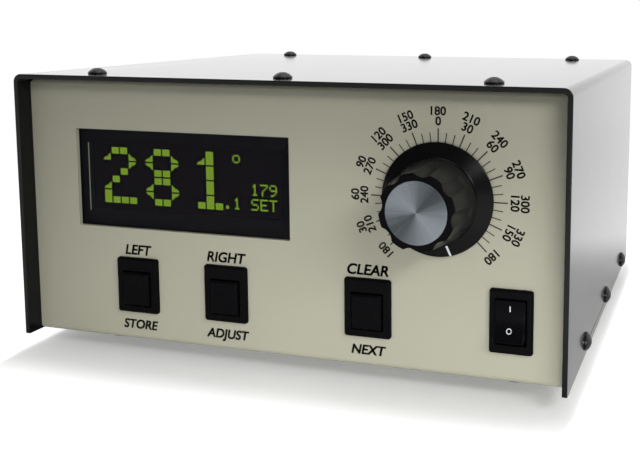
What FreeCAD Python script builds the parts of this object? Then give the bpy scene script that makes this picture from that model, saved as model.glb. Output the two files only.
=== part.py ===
import FreeCAD, Part
import Sketcher
import math
import operator
import os
from FreeCAD import Placement, Rotation, Vector

# Desk controller for an antenna rotator: a folded steel case with a display, three push
# buttons, a rocker switch and a bearing dial on its front, and the sockets on its rear.
# The origin is under the middle of the whole controller, on the surface that it stands on.
# +X is to the right as seen from the front, +Y runs to the rear and +Z is up.

# name of the cell, millimetres, what it measures
SIZES = (
    ("cover_width", 205.0, "cover, outside"),
    ("cover_height", 98.0, "cover, from its lower edges to its top"),
    ("cover_depth", 187.0, "cover, front edge to rear edge"),
    ("cover_wall", 1.8, "painted aluminium sheet"),
    ("cover_bend", 3.0, "outer radius of the cover's two bends"),
    ("front_setback", 7.0, "front panel behind the cover's front edge"),
    ("rear_setback", 7.0, "rear panel ahead of the cover's rear edge"),
    ("sheet_wall", 1.6, "chassis sheet"),
    ("sheet_bend", 2.0, "outer radius of the chassis bends"),
    ("corner_gap", 0.3, "chassis corners to the cover's bends"),
    ("top_flange", 12.0, "flanges along the top of the front and rear panels"),
    ("side_flange", 12.0, "height of the flanges along the sides of the bottom"),
    ("flange_gap", 3.0, "side flange to the front and rear panels"),
    ("screw_radius", 1.5, "case screw shank"),
    ("screw_length", 6.4, "case screw shank, under the head"),
    ("screw_head_radius", 3.35, "domed head"),
    ("screw_head_height", 2.1, "domed head"),
    ("head_rim", 0.55, "straight rim under the dome of a head"),
    ("thread_gap", 0.05, "a thread to its hole"),
    ("pass_gap", 0.2, "a shank to a hole that it only passes"),
    ("thread_reach", 1.0, "a screw's end past its nut or sheet"),
    ("top_screw_pitch", 75.0, "screws along the top, left to right"),
    ("top_screw_front", 12.0, "front row to the cover's front edge"),
    ("top_screw_rear", 11.0, "rear row to the cover's rear edge"),
    ("side_screw_first", 41.0, "first side screw to the cover's front edge"),
    ("side_screw_pitch", 59.5, "screws along each side"),
    ("side_screw_height", 5.0, "side screws above the cover's lower edge"),
    ("foot_height", 7.0, "rubber foot"),
    ("foot_base_radius", 6.5, "foot, where it stands"),
    ("foot_top_radius", 7.5, "foot, against the chassis"),
    ("foot_recess", 3.2, "depth of the recess for the screw head"),
    ("foot_recess_gap", 0.6, "screw head to the recess in the foot"),
    ("foot_inset_x", 22.5, "feet to the cover's sides"),
    ("foot_inset_y", 32.0, "feet to the cover's front and rear edges"),
    ("nut_flats", 5.5, "small nuts, across flats"),
    ("nut_height", 2.4, "small nuts"),
    ("panel_gap", 0.1, "a fitted part to its cut-out, each side"),
    ("window_width", 85.8, "window cut-out"),
    ("window_height", 36.2, "window cut-out"),
    ("window_across", -38.65, "window centre from the middle of the case"),
    ("window_up", 59.95, "window centre above the cover's lower edge"),
    ("window_sheet", 1.5, "tinted window sheet"),
    ("window_lap", 3.5, "window sheet behind the panel, each side"),
    ("display_across", -38.4, "display centre from the middle of the case"),
    ("display_up", 60.4, "display centre above the cover's lower edge"),
    ("display_frame_width", 96.8, "metal frame of the display"),
    ("display_frame_height", 39.3, "metal frame of the display"),
    ("display_frame_depth", 6.0, "metal frame, front to board"),
    ("display_frame_skin", 0.5, "metal of the frame"),
    ("view_width", 77.0, "opening of the frame"),
    ("view_height", 25.2, "opening of the frame"),
    ("glass_thickness", 2.2, "display glass"),
    ("glass_lap", 4.0, "display glass behind the frame, each side"),
    ("display_board_width", 98.0, "display circuit board"),
    ("display_board_height", 60.0, "display circuit board"),
    ("board_thickness", 1.6, "circuit boards"),
    ("display_hole_x", 93.0, "display board holes, left to right"),
    ("display_hole_y", 55.0, "display board holes, up and down"),
    ("stud_radius", 2.5, "display stud, thick part"),
    ("button_up", 20.95, "button centres above the cover's lower edge"),
    ("left_button_across", -56.7, "first button from the middle of the case"),
    ("right_button_across", -20.7, "second button from the middle of the case"),
    ("clear_button_across", 33.15, "third button from the middle of the case"),
    ("bezel_lap_x", 1.4, "bezel past the housing, left and right"),
    ("bezel_lap_y", 1.95, "bezel past the housing, above and below"),
    ("bezel_proud", 1.8, "button bezel in front of the panel"),
    ("bezel_corner", 1.0, "corner radius of the bezel"),
    ("bezel_bevel", 0.6, "bevel round the bezel's face"),
    ("housing_wall_x", 1.2, "walls of the button housing, left and right"),
    ("housing_wall_y", 1.8, "walls of the button housing, above and below, on average"),
    ("housing_depth", 14.0, "button housing behind the panel"),
    ("well_depth", 12.0, "well of the housing, from the bezel's face"),
    ("cap_width", 10.8, "button cap"),
    ("cap_height", 12.2, "button cap"),
    ("cap_gap", 0.4, "cap to the well, each side"),
    ("cap_drop", 1.1, "cap and well below the middle of the bezel"),
    ("cap_proud", 1.1, "cap in front of the bezel"),
    ("cap_depth", 7.6, "button cap, front to back"),
    ("cap_bevel", 0.6, "bevel round the cap's face"),
    ("button_travel", 2.5, "button stroke"),
    ("stem_radius", 1.6, "button stem"),
    ("slide_gap", 0.05, "a moving shaft to its bore"),
    ("spring_radius", 2.5, "button spring, middle of the wire"),
    ("spring_wire", 0.3, "radius of the spring wire"),
    ("spring_turns", 3.0, "turns of the spring"),
    ("switch_across", 82.9, "rocker switch from the middle of the case"),
    ("switch_up", 21.0, "rocker switch above the cover's lower edge"),
    ("switch_lap_x", 0.8, "switch bezel past its housing, left and right"),
    ("switch_lap_y", 1.8, "switch bezel past its housing, above and below"),
    ("switch_proud", 1.8, "rocker switch bezel in front of the panel"),
    ("switch_corner", 1.0, "corner radius of the switch bezel"),
    ("switch_bevel", 0.6, "bevel round the switch bezel's face"),
    ("switch_wall_x", 1.2, "walls of the switch housing, left and right"),
    ("switch_wall_y", 1.35, "walls of the switch housing, above and below"),
    ("switch_body_depth", 14.0, "switch housing behind the panel"),
    ("rocker_width", 10.2, "rocker"),
    ("rocker_half", 6.9, "pivot to the rocker's end, along its face"),
    ("rocker_rise", 4.8, "pivot to the rocker's ends, outwards"),
    ("rocker_dish", 1.6, "hollow of the rocker's face"),
    ("rocker_keel", 4.5, "pivot to the back of the rocker"),
    ("rocker_flank_in", 0.56, "rocker's ends drawn in, below its face"),
    ("rocker_flank_drop", 1.2, "pivot to where the rocker's ends turn inwards"),
    ("rocker_keel_in", 3.2, "rocker's back drawn in at each end"),
    ("rocker_side_gap", 0.2, "rocker to its well, each side"),
    ("rocker_end_gap", 0.75, "rocker to its well, each end"),
    ("rocker_tilt", 13.0, "degrees to each side of the middle"),
    ("pivot_radius", 1.2, "rocker pivot pins, level with the panel's face"),
    ("switch_blade_width", 4.8, "switch terminals"),
    ("switch_blade_sheet", 0.8, "switch terminals"),
    ("switch_blade_length", 8.0, "switch terminals"),
    ("switch_blade_pitch", 6.0, "switch terminals"),
    ("dial_across", 57.7, "dial centre from the middle of the case"),
    ("dial_up", 59.9, "dial centre above the cover's lower edge"),
    ("pointer_angle", 165.0, "pointer clockwise from the top, at the clockwise stop"),
    ("shaft_radius", 3.175, "quarter inch shaft"),
    ("shaft_front", 16.0, "shaft end in front of the panel"),
    ("shaft_bevel", 0.4, "shaft end"),
    ("bush_radius", 4.76, "threaded bush of the potentiometer"),
    ("bush_front", 6.4, "bush in front of the panel"),
    ("pot_radius", 12.0, "potentiometer can"),
    ("pot_depth", 12.0, "potentiometer can"),
    ("pot_wall", 1.0, "potentiometer can"),
    ("wiper_gap", 0.4, "wiper to the potentiometer's can"),
    ("wiper_sheet", 1.5, "wiper disc on the shaft"),
    ("dial_nut_flats", 12.7, "potentiometer nut, across flats"),
    ("dial_nut_height", 2.2, "potentiometer nut"),
    ("dial_washer_radius", 7.4, "potentiometer washer"),
    ("dial_washer_height", 0.8, "potentiometer washer"),
    ("skirt_radius", 19.05, "knob skirt, one and a half inches across"),
    ("skirt_gap", 0.8, "knob skirt in front of the panel"),
    ("skirt_edge", 0.9, "thickness of the skirt's edge"),
    ("skirt_dish", 1.0, "hollow under the skirt"),
    ("shoulder_fillet", 0.6, "skirt to hub"),
    ("shoulder_height", 4.4, "panel to the foot of the hub"),
    ("hub_base_radius", 13.9, "hub, at the skirt"),
    ("hub_rim_radius", 12.4, "hub, at the rim"),
    ("rim_height", 23.0, "panel to the rim"),
    ("crown_height", 23.4, "panel to the top of the crown"),
    ("crown_inset", 0.4, "crown inside the rim"),
    ("rim_round", 0.5, "radius from the rim to the crown"),
    ("inlay_radius", 10.0, "turned metal disc in the crown"),
    ("inlay_depth", 1.2, "turned metal disc"),
    ("inlay_proud", 0.3, "disc in front of the crown"),
    ("flute_count", 8.0, "flutes round the hub"),
    ("flute_radius", 4.0, "cutter radius of a flute"),
    ("flute_depth", 1.2, "flutes at the crown"),
    ("flute_lean", 6.5, "degrees that a flute's cutter leans towards the knob's axis"),
    ("flute_foot", 8.3, "along the cutter, to the middle of its round end"),
    ("flute_overrun", 2.0, "cutter above the crown"),
    ("nut_well_radius", 8.6, "recess under the knob"),
    ("nut_well_height", 7.4, "panel to the top of the recess"),
    ("insert_radius", 5.0, "metal insert of the knob"),
    ("insert_gap", 0.2, "insert to the knob, at its closed end"),
    ("insert_cap", 0.5, "closed end of the insert"),
    ("shaft_room", 1.0, "shaft end to the knob"),
    ("set_screw_radius", 1.6, "knob set screw"),
    ("set_screw_height", 11.5, "panel to the set screw"),
    ("set_screw_length", 6.0, "knob set screw"),
    ("main_board_width", 96.0, "main circuit board"),
    ("main_board_depth", 104.0, "main circuit board"),
    ("main_board_across", -46.0, "main board centre from the middle of the case"),
    ("main_board_back", 4.0, "main board centre behind the middle of the case"),
    ("main_board_raise", 8.0, "standoffs under the main board"),
    ("board_inset", 5.0, "board holes from the board's edges"),
    ("chip_across", -22.0, "control chip from the board's middle"),
    ("chip_back", -8.0, "control chip from the board's middle"),
    ("chip_width", 15.0, "control chip"),
    ("chip_length", 52.0, "control chip"),
    ("chip_height", 4.5, "control chip in its socket"),
    ("regulator_across", 28.0, "voltage regulator from the board's middle"),
    ("regulator_back", 34.0, "voltage regulator from the board's middle"),
    ("regulator_width", 10.2, "voltage regulator"),
    ("regulator_depth", 4.6, "voltage regulator"),
    ("regulator_height", 15.0, "voltage regulator"),
    ("relay_across", 20.0, "first relay from the board's middle"),
    ("relay_back", -30.0, "first relay from the board's middle"),
    ("relay_width", 15.5, "relays"),
    ("relay_length", 19.5, "relays"),
    ("relay_height", 15.8, "relays"),
    ("relay_pitch", 22.0, "relays"),
    ("capacitor_across", -24.0, "first capacitor from the board's middle"),
    ("capacitor_back", 34.0, "first capacitor from the board's middle"),
    ("capacitor_radius", 9.0, "capacitors"),
    ("capacitor_height", 32.0, "capacitors"),
    ("capacitor_pitch", 22.0, "capacitors"),
    ("core_width", 66.0, "transformer laminations, left to right"),
    ("core_height", 55.0, "transformer laminations"),
    ("core_stack", 32.0, "transformer stack, front to rear"),
    ("core_leg", 22.0, "centre leg"),
    ("core_yoke", 11.0, "yokes and outer legs"),
    ("coil_overhang", 9.0, "winding in front of and behind the stack"),
    ("coil_gap", 0.3, "winding to the laminations"),
    ("coil_corner", 4.5, "corner radius of the winding"),
    ("transformer_across", 52.0, "transformer from the middle of the case"),
    ("transformer_back", 18.0, "transformer behind the middle of the case"),
    ("strap_wall", 1.5, "transformer strap"),
    ("strap_width", 24.0, "transformer strap"),
    ("strap_foot", 11.0, "feet of the transformer strap"),
    ("inlet_across", 66.0, "mains inlet from the middle of the case"),
    ("inlet_up", 34.0, "mains inlet above the cover's lower edge"),
    ("inlet_flange_width", 50.0, "inlet flange"),
    ("inlet_flange_height", 34.0, "inlet flange"),
    ("inlet_flange_proud", 2.5, "inlet flange behind the rear panel"),
    ("inlet_corner", 4.0, "corner radius of the inlet flange"),
    ("inlet_screw_pitch", 40.0, "inlet screws"),
    ("inlet_wall", 2.8, "walls of the inlet body, left and right"),
    ("inlet_body_height", 29.0, "inlet body"),
    ("inlet_floor", 6.5, "inlet body behind its socket"),
    ("socket_width", 24.4, "inlet socket"),
    ("socket_height", 16.4, "inlet socket"),
    ("socket_depth", 18.0, "inlet socket"),
    ("socket_rise", 4.6, "socket above the middle of the inlet"),
    ("socket_corner", 3.2, "cut corners of the socket"),
    ("blade_length", 12.5, "inlet blades in the socket"),
    ("blade_pitch", 14.0, "outer blades"),
    ("blade_width", 2.0, "inlet blades"),
    ("blade_height", 4.0, "inlet blades"),
    ("earth_rise", 4.0, "earth blade above the outer blades"),
    ("drawer_width", 24.4, "fuse drawer"),
    ("drawer_height", 7.4, "fuse drawer"),
    ("drawer_depth", 19.0, "fuse drawer"),
    ("drawer_drop", 9.2, "drawer below the middle of the inlet"),
    ("drawer_gap", 0.1, "fuse drawer to its slot, each side"),
    ("drawer_travel", 16.0, "fuse drawer stroke"),
    ("fuse_radius", 2.6, "fuse"),
    ("fuse_length", 20.0, "fuse"),
    ("fuse_gap", 0.1, "fuse to its trough, each side"),
    ("notch_width", 8.0, "finger notch of the drawer"),
    ("notch_height", 3.0, "finger notch of the drawer"),
    ("notch_depth", 1.2, "finger notch of the drawer"),
    ("port_up", 78.0, "serial ports above the cover's lower edge"),
    ("first_port_across", -26.0, "first serial port"),
    ("port_pitch", 42.0, "serial ports"),
    ("port_flange_width", 30.8, "serial port flange"),
    ("port_flange_height", 12.5, "serial port flange"),
    ("port_flange_sheet", 1.0, "serial port flange"),
    ("port_shell_width", 16.9, "serial port shell"),
    ("port_shell_height", 8.4, "serial port shell"),
    ("port_shell_proud", 6.0, "serial port shell"),
    ("port_shell_slope", 1.0, "shell's sides, drawn in along its lower edge"),
    ("port_shell_wall", 0.5, "serial port shell"),
    ("port_block_width", 18.9, "serial port behind its flange"),
    ("port_block_height", 10.5, "serial port behind its flange"),
    ("pin_block_sunk", 0.4, "pin block behind the shell's edge"),
    ("pin_hole", 0.55, "radius of a pin hole"),
    ("pin_depth", 5.0, "pin holes"),
    ("pin_pitch", 2.77, "pins along a row"),
    ("pin_rows", 2.84, "between the two rows of pins"),
    ("port_depth", 11.0, "serial port inside the case"),
    ("jackscrew_pitch", 25.0, "serial port jackscrews"),
    ("jackscrew_bore", 1.42, "jackscrew thread"),
    ("jackscrew_flats", 5.0, "jackscrew, across flats"),
    ("jackscrew_height", 5.0, "jackscrew"),
    ("strip_side_gap", 8.0, "terminal strip to the cover's side"),
    ("strip_up", 34.0, "terminal strip above the cover's lower edge"),
    ("strip_ways", 8.0, "terminals"),
    ("strip_pitch", 9.5, "terminals"),
    ("strip_height", 22.0, "terminal strip"),
    ("strip_base", 7.0, "terminal strip, floor"),
    ("strip_barrier", 14.0, "terminal strip, barriers"),
    ("strip_wall", 1.4, "barriers between the terminals"),
    ("strip_ear", 8.0, "ears of the terminal strip"),
    ("plate_sheet", 0.8, "terminal plates"),
    ("plate_gap", 0.3, "plate to the barriers, each side"),
    ("plate_inset", 2.0, "plate inside the strip's edges"),
    ("terminal_rows", 10.0, "between the two rows of terminal screws"),
    ("terminal_head_radius", 3.2, "terminal screw"),
    ("terminal_head_height", 2.0, "terminal screw"),
    ("terminal_head_bevel", 0.5, "terminal screw"),
    ("stud_across", 22.0, "ground stud from the middle of the case"),
    ("stud_up", 24.0, "ground stud above the cover's lower edge"),
    ("ground_stud_radius", 2.5, "ground stud"),
    ("ground_stud_length", 14.0, "ground stud behind the rear panel"),
    ("ground_stud_bevel", 0.5, "ground stud's end"),
    ("ground_groove_width", 0.5, "groove behind the nut"),
    ("ground_groove_depth", 0.4, "groove behind the nut"),
    ("ground_head_radius", 4.0, "ground stud's head, inside"),
    ("ground_head_height", 3.0, "ground stud's head, inside"),
    ("ground_nut_flats", 8.0, "ground nut, across flats"),
    ("ground_nut_height", 4.0, "ground nut"),
)

doc = FreeCAD.newDocument("rotator_controller")
sheet = doc.addObject("Spreadsheet::Sheet", "Sizes")
for row, (cell_name, millimetres, meaning) in enumerate(SIZES, start=1):
    sheet.set("A%d" % row, cell_name)
    sheet.set("B%d" % row, str(millimetres))
    sheet.set("C%d" % row, meaning)
    sheet.setAlias("B%d" % row, cell_name)
doc.recompute()


class Size:
    """A cell of the sheet, or a formula on cells: its number now, and the same formula as sheet text."""

    def __init__(self, number, text):
        self.number = float(number)
        self.text = text

    def __add__(self, other):
        return combine(operator.add, self, "+", other)

    def __radd__(self, other):
        return combine(operator.add, other, "+", self)

    def __sub__(self, other):
        return combine(operator.sub, self, "-", other)

    def __rsub__(self, other):
        return combine(operator.sub, other, "-", self)

    def __mul__(self, other):
        return combine(operator.mul, self, "*", other)

    def __rmul__(self, other):
        return combine(operator.mul, other, "*", self)

    def __truediv__(self, other):
        return combine(operator.truediv, self, "/", other)

    def __neg__(self):
        return combine(operator.sub, 0, "-", self)


def sized(value):
    """Any number as a Size."""
    if isinstance(value, Size):
        return value
    return Size(value, "%.6f" % value)


def combine(rule, first, sign, second):
    first = sized(first)
    second = sized(second)
    return Size(rule(first.number, second.number), "(%s %s %s)" % (first.text, sign, second.text))


class Cells:
    """Each cell of the sheet as a Size, by its name."""

    def __getattr__(self, name):
        return Size(sheet.get(name), "Sizes." + name)


cell = Cells()

# planes and levels that the sub-parts share
knob_reach = cell.crown_height + cell.inlay_proud - cell.front_setback
stud_reach = cell.ground_stud_length - cell.rear_setback
case_centre = (knob_reach - stud_reach) / 2
case_front = case_centre - cell.cover_depth / 2
case_rear = case_centre + cell.cover_depth / 2
panel_face = case_front + cell.front_setback
rear_face = case_rear - cell.rear_setback
case_bottom = cell.foot_height
bottom_top = case_bottom + cell.sheet_wall
case_top = case_bottom + cell.cover_height
cover_underside = case_top - cell.cover_wall
case_middle = case_bottom + cell.cover_height / 2
chassis_width = cell.cover_width - 2 * cell.cover_wall
feet_apart_x = cell.cover_width - 2 * cell.foot_inset_x
feet_apart_y = cell.cover_depth - 2 * cell.foot_inset_y
screw_hole = cell.screw_radius + cell.thread_gap
passing_hole = cell.screw_radius + cell.pass_gap

# what surrounds a moving or fitted piece follows that piece
well_width = cell.cap_width + 2 * cell.cap_gap
well_height = cell.cap_height + 2 * cell.cap_gap
housing_width = well_width + 2 * cell.housing_wall_x
housing_height = well_height + 2 * cell.housing_wall_y
rocker_well_width = cell.rocker_width + 2 * cell.rocker_side_gap
rocker_well_height = 2 * (cell.rocker_half + cell.rocker_end_gap)
switch_body_width = rocker_well_width + 2 * cell.switch_wall_x
switch_body_height = rocker_well_height + 2 * cell.switch_wall_y
inlet_body_width = cell.socket_width + 2 * cell.inlet_wall
inlet_body_depth = cell.socket_depth - cell.inlet_flange_proud + cell.inlet_floor
strip_length = cell.strip_pitch * cell.strip_ways + cell.strip_wall
strip_across = cell.strip_side_gap + strip_length / 2 + cell.strip_ear - chassis_width / 2
strip_screw_reach = strip_length / 2 + cell.strip_ear / 2
strap_hole_reach = cell.core_width / 2 + cell.strap_wall + cell.strap_foot / 2
window_back = cell.sheet_wall + cell.window_sheet
display_board_front = window_back + cell.display_frame_depth
board_top = bottom_top + cell.main_board_raise + cell.board_thickness
shaft_pocket = cell.shaft_front + cell.shaft_room
inlay_floor = cell.crown_height + cell.inlay_proud - cell.inlay_depth

FACING_UP = Rotation()
FACING_FRONT = Rotation(Vector(1, 0, 0), 90)
FACING_REAR = Rotation(Vector(0, 0, 1), 180) * FACING_FRONT

sub_parts = []


# ---- small tools for bodies, sketches and features


def bind(thing, path, size):
    thing.setExpression(path, sized(size).text)


def new_body(label, x=0, y=0, z=0, facing=FACING_UP):
    """A body whose own origin is at x, y, z, with its own +Z turned to the side it faces."""
    body = doc.addObject("PartDesign::Body", label)
    body.Label = label
    body.AllowCompound = True
    body.Placement = Placement(Vector(*(sized(value).number for value in (x, y, z))), facing)
    for axis, value in zip("xyz", (x, y, z)):
        bind(body, ".Placement.Base." + axis, value)
    sub_parts.append(body)
    return body


def origin_feature(body, role):
    return [feature for feature in body.Origin.OriginFeatures if feature.Role == role][0]


def new_sketch(body, name, role="XY_Plane", height=0):
    """A sketch on one of the body's own planes, or at a height along that plane's normal."""
    sketch = body.newObject("Sketcher::SketchObject", name)
    sketch.AttachmentSupport = [(origin_feature(body, role), "")]
    sketch.MapMode = "FlatFace"
    bind(sketch, "AttachmentOffset.Base.z", height)
    return sketch


def spot(x, y):
    return Vector(sized(x).number, sized(y).number, 0)


def tie_corner(sketch, curve, corner, x, y):
    """Ties one end (1 or 2) or the centre (3) of a curve to its place in the sketch."""
    for kind, value in (("DistanceX", x), ("DistanceY", y)):
        value = sized(value)
        index = sketch.addConstraint(Sketcher.Constraint(kind, -1, 1, curve, corner, value.number))
        sketch.setExpression("Constraints[%d]" % index, value.text)


def draw_outline(sketch, corners):
    """A closed outline through the corners, each x, y.

    A third value makes the way on from that corner an arc of that radius. Its middle is to
    the left of the way, or to the right where the radius is below zero.
    """
    first = sketch.GeometryCount
    count = len(corners)
    ends = []
    for step, corner in enumerate(corners):
        start, end = spot(*corner[:2]), spot(*corners[(step + 1) % count][:2])
        if len(corner) == 2:
            sketch.addGeometry(Part.LineSegment(start, end), False)
            ends.append((1, 2))
        else:
            radius = sized(corner[2])
            clockwise = radius.number < 0
            sketch.addGeometry(arc_between(start, end, radius.number), False)
            bind_radius(sketch, first + step, -radius if clockwise else radius)
            ends.append((2, 1) if clockwise else (1, 2))
    for step, corner in enumerate(corners):
        following = (step + 1) % count
        sketch.addConstraint(Sketcher.Constraint(
            "Coincident", first + step, ends[step][1], first + following, ends[following][0]))
        tie_corner(sketch, first + step, ends[step][0], *corner[:2])


def arc_between(start, end, radius):
    """The shorter arc of a circle from start to end, which a sketch always keeps anticlockwise."""
    way = end - start
    left = Vector(-way.y, way.x, 0).normalize()
    reach = math.sqrt(radius * radius - way.Length * way.Length / 4)
    centre = (start + end) / 2 + left * math.copysign(reach, radius)
    if radius < 0:
        start, end = end, start
    from_angle, to_angle = (math.atan2(point.y - centre.y, point.x - centre.x) for point in (start, end))
    if to_angle < from_angle:
        to_angle += 2 * math.pi
    return Part.ArcOfCircle(Part.Circle(centre, Vector(0, 0, 1), abs(radius)), from_angle, to_angle)


def bind_radius(sketch, curve, radius):
    index = sketch.addConstraint(Sketcher.Constraint("Radius", curve, sized(radius).number))
    sketch.setExpression("Constraints[%d]" % index, sized(radius).text)


def draw_box(sketch, width, height, x=0, y=0):
    """A rectangle about x, y."""
    left, right = x - width / 2, x + width / 2
    low, high = y - height / 2, y + height / 2
    draw_outline(sketch, [(left, low), (right, low), (right, high), (left, high)])


def draw_circle(sketch, radius, x=0, y=0):
    curve = sketch.addGeometry(Part.Circle(spot(x, y), Vector(0, 0, 1), sized(radius).number), False)
    tie_corner(sketch, curve, 3, x, y)
    bind_radius(sketch, curve, radius)


def settle(body, feature):
    """Makes the feature the body's tip and works it out."""
    body.Tip = feature
    doc.recompute()
    if feature.State and ("Invalid" in feature.State or "Error" in feature.State):
        raise RuntimeError("%s in %s can't be made" % (feature.Name, body.Label))
    return feature


def pad(body, sketch, length, symmetric=False, backwards=False):
    """Adds the sketch's outline, along its normal, both ways or backwards."""
    feature = body.newObject("PartDesign::Pad", sketch.Name + "_pad")
    feature.Profile = sketch
    feature.SideType = "Symmetric" if symmetric else "One side"
    feature.Reversed = backwards
    bind(feature, "Length", length)
    return settle(body, feature)


def cut(body, sketch, depth=None, symmetric=False, forwards=False):
    """Cuts the sketch's outline against its normal, to a depth or all the way, both ways or forwards."""
    before = body.Shape.Volume
    feature = body.newObject("PartDesign::Pocket", sketch.Name + "_cut")
    feature.Profile = sketch
    feature.SideType = "Symmetric" if symmetric else "One side"
    feature.Reversed = forwards
    if depth is None:
        feature.Type = "ThroughAll"
    else:
        bind(feature, "Length", depth)
    settle(body, feature)
    if body.Shape.Volume > before - 0.01:
        raise RuntimeError("%s in %s cuts nothing" % (feature.Name, body.Label))
    return feature


def turn(body, sketch, axis="V_Axis"):
    """Revolves the sketch about its own upright axis, or its level one."""
    feature = body.newObject("PartDesign::Revolution", sketch.Name + "_turn")
    feature.Profile = sketch
    feature.ReferenceAxis = (sketch, [axis])
    feature.Angle = 360
    return settle(body, feature)


def row_of(body, features, axis, length, count, second_axis=None, second_length=0, second_count=1):
    """Repeats features along an axis of the body, and along a second one for a grid."""
    pattern = body.newObject("PartDesign::LinearPattern", features[0].Name + "_row")
    pattern.Originals = features
    pattern.Direction = (origin_feature(body, axis), [""])
    bind(pattern, "Length", length)
    bind(pattern, "Occurrences", count)
    if second_axis:
        pattern.Direction2 = (origin_feature(body, second_axis), [""])
        bind(pattern, "Length2", second_length)
        bind(pattern, "Occurrences2", second_count)
    return settle(body, pattern)


def edges_of(feature, wanted):
    return ["Edge%d" % number for number, edge in enumerate(feature.Shape.Edges, start=1) if wanted(edge)]


def runs_along(edge, axis):
    """Whether the edge is straight and runs along the axis, a unit vector."""
    return edge.Curve.TypeId == "Part::GeomLine" and abs(edge.Curve.Direction.dot(axis)) > 0.999


def round_edges(body, name, radius, wanted):
    """Rounds the edges of the body's tip that are wanted."""
    base = body.Tip
    feature = body.newObject("PartDesign::Fillet", body.Name + name)
    feature.Base = (base, edges_of(base, wanted))
    bind(feature, "Radius", radius)
    return settle(body, feature)


def bevel_edges(body, name, size, wanted):
    """Bevels the edges of the body's tip that are wanted."""
    base = body.Tip
    feature = body.newObject("PartDesign::Chamfer", body.Name + name)
    feature.Base = (base, edges_of(base, wanted))
    bind(feature, "Size", size)
    return settle(body, feature)


def at_height(edge, height, reach=0.01):
    """Whether the whole edge lies at one height of the body's own frame."""
    box = edge.BoundBox
    return abs(box.ZMin - sized(height).number) < reach and abs(box.ZMax - sized(height).number) < reach

# ---- case


def make_cover():
    body = new_body("cover")
    outer = cell.cover_width / 2
    inner = outer - cell.cover_wall
    profile = new_sketch(body, "cover_profile", "XZ_Plane", -case_centre)
    draw_outline(profile, [
        (-outer, case_bottom), (-outer, case_top), (outer, case_top), (outer, case_bottom),
        (inner, case_bottom), (inner, cover_underside), (-inner, cover_underside), (-inner, case_bottom),
    ])
    pad(body, profile, cell.cover_depth, symmetric=True)

    def at_level(level):
        return lambda edge: runs_along(edge, Vector(0, 1, 0)) and at_height(edge, level)

    round_edges(body, "_outer_bends", cell.cover_bend, at_level(case_top))
    round_edges(body, "_inner_bends", cell.cover_bend - cell.cover_wall, at_level(cover_underside))
    drill_case_screw_holes(body, passing_hole)


def drill_case_screw_holes(body, radius):
    """The holes for the case screws, through the top and through both sides."""
    for name, back in top_screw_rows():
        holes = new_sketch(body, "%s_top_%s" % (body.Name, name), "XY_Plane", case_middle)
        for step in (-1, 0, 1):
            draw_circle(holes, radius, cell.top_screw_pitch * step, back)
        cut(body, holes, forwards=True)
    holes = new_sketch(body, body.Name + "_side_holes", "YZ_Plane")
    for step in range(3):
        draw_circle(holes, radius, *side_screw_spot(step))
    cut(body, holes, symmetric=True)


def top_screw_rows():
    """Name and place along Y of the two rows of screws in the top."""
    return (("front", case_front + cell.top_screw_front), ("rear", case_rear - cell.top_screw_rear))


def side_screw_spot(step):
    """Y and Z of one of the three screws in each side."""
    return (case_front + cell.side_screw_first + cell.side_screw_pitch * step,
            case_bottom + cell.side_screw_height)


def make_chassis():
    body = new_body("chassis")
    fold_chassis(body)
    add_side_flanges(body)
    drill_case_screw_holes(body, screw_hole)
    drill_bottom(body)
    cut_front_panel(body)
    cut_rear_panel(body)


def fold_chassis(body):
    """The bottom, the two panels and their top flanges, in one folded sheet."""
    wall, flange = cell.sheet_wall, cell.top_flange
    front, rear = panel_face, rear_face
    under_flange = cover_underside - wall
    profile = new_sketch(body, "chassis_profile", "YZ_Plane")
    draw_outline(profile, [
        (front, case_bottom), (rear, case_bottom), (rear, cover_underside),
        (rear - flange, cover_underside), (rear - flange, under_flange),
        (rear - wall, under_flange), (rear - wall, bottom_top),
        (front + wall, bottom_top), (front + wall, under_flange), (front + flange, under_flange),
        (front + flange, cover_underside), (front, cover_underside),
    ])
    pad(body, profile, chassis_width, symmetric=True)

    def on_fold(inset):
        levels_y = (front + inset, rear - inset)
        levels_z = (case_bottom + inset, cover_underside - inset)

        def wanted(edge):
            middle = edge.CenterOfMass
            at_y = min(abs(middle.y - level.number) for level in levels_y) < 0.01
            at_z = min(abs(middle.z - level.number) for level in levels_z) < 0.01
            return runs_along(edge, Vector(1, 0, 0)) and at_y and at_z
        return wanted

    round_edges(body, "_outer_folds", cell.sheet_bend, on_fold(sized(0)))
    round_edges(body, "_inner_folds", cell.sheet_bend - wall, on_fold(wall))
    relief = new_sketch(body, "chassis_corner_relief", "XZ_Plane")
    edge = chassis_width / 2
    nip = cell.cover_bend - cell.cover_wall + cell.corner_gap
    for side in (-1, 1):
        draw_outline(relief, [(side * edge, cover_underside), (side * (edge - nip), cover_underside),
                              (side * edge, cover_underside - nip)])
    cut(body, relief, symmetric=True)


def add_side_flanges(body):
    wall = cell.sheet_wall
    length = rear_face - panel_face - 2 * (wall + cell.flange_gap)
    for name, side in (("left", -1), ("right", 1)):
        outline = new_sketch(body, "side_flange_" + name, "XY_Plane", case_bottom)
        draw_box(outline, wall, length, side * (chassis_width - wall) / 2, case_centre)
        pad(body, outline, cell.side_flange)


def drill_bottom(body):
    """Holes for the feet, the main board's standoffs and the transformer."""
    holes = new_sketch(body, "bottom_holes", "XY_Plane", case_middle)
    for x_side in (-1, 1):
        for y_side in (-1, 1):
            draw_circle(holes, passing_hole, x_side * feet_apart_x / 2,
                        case_centre + y_side * feet_apart_y / 2)
            draw_circle(holes, screw_hole, *board_hole(x_side, y_side))
        draw_circle(holes, screw_hole, cell.transformer_across + x_side * strap_hole_reach,
                    case_centre + cell.transformer_back)
    cut(body, holes)


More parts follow.
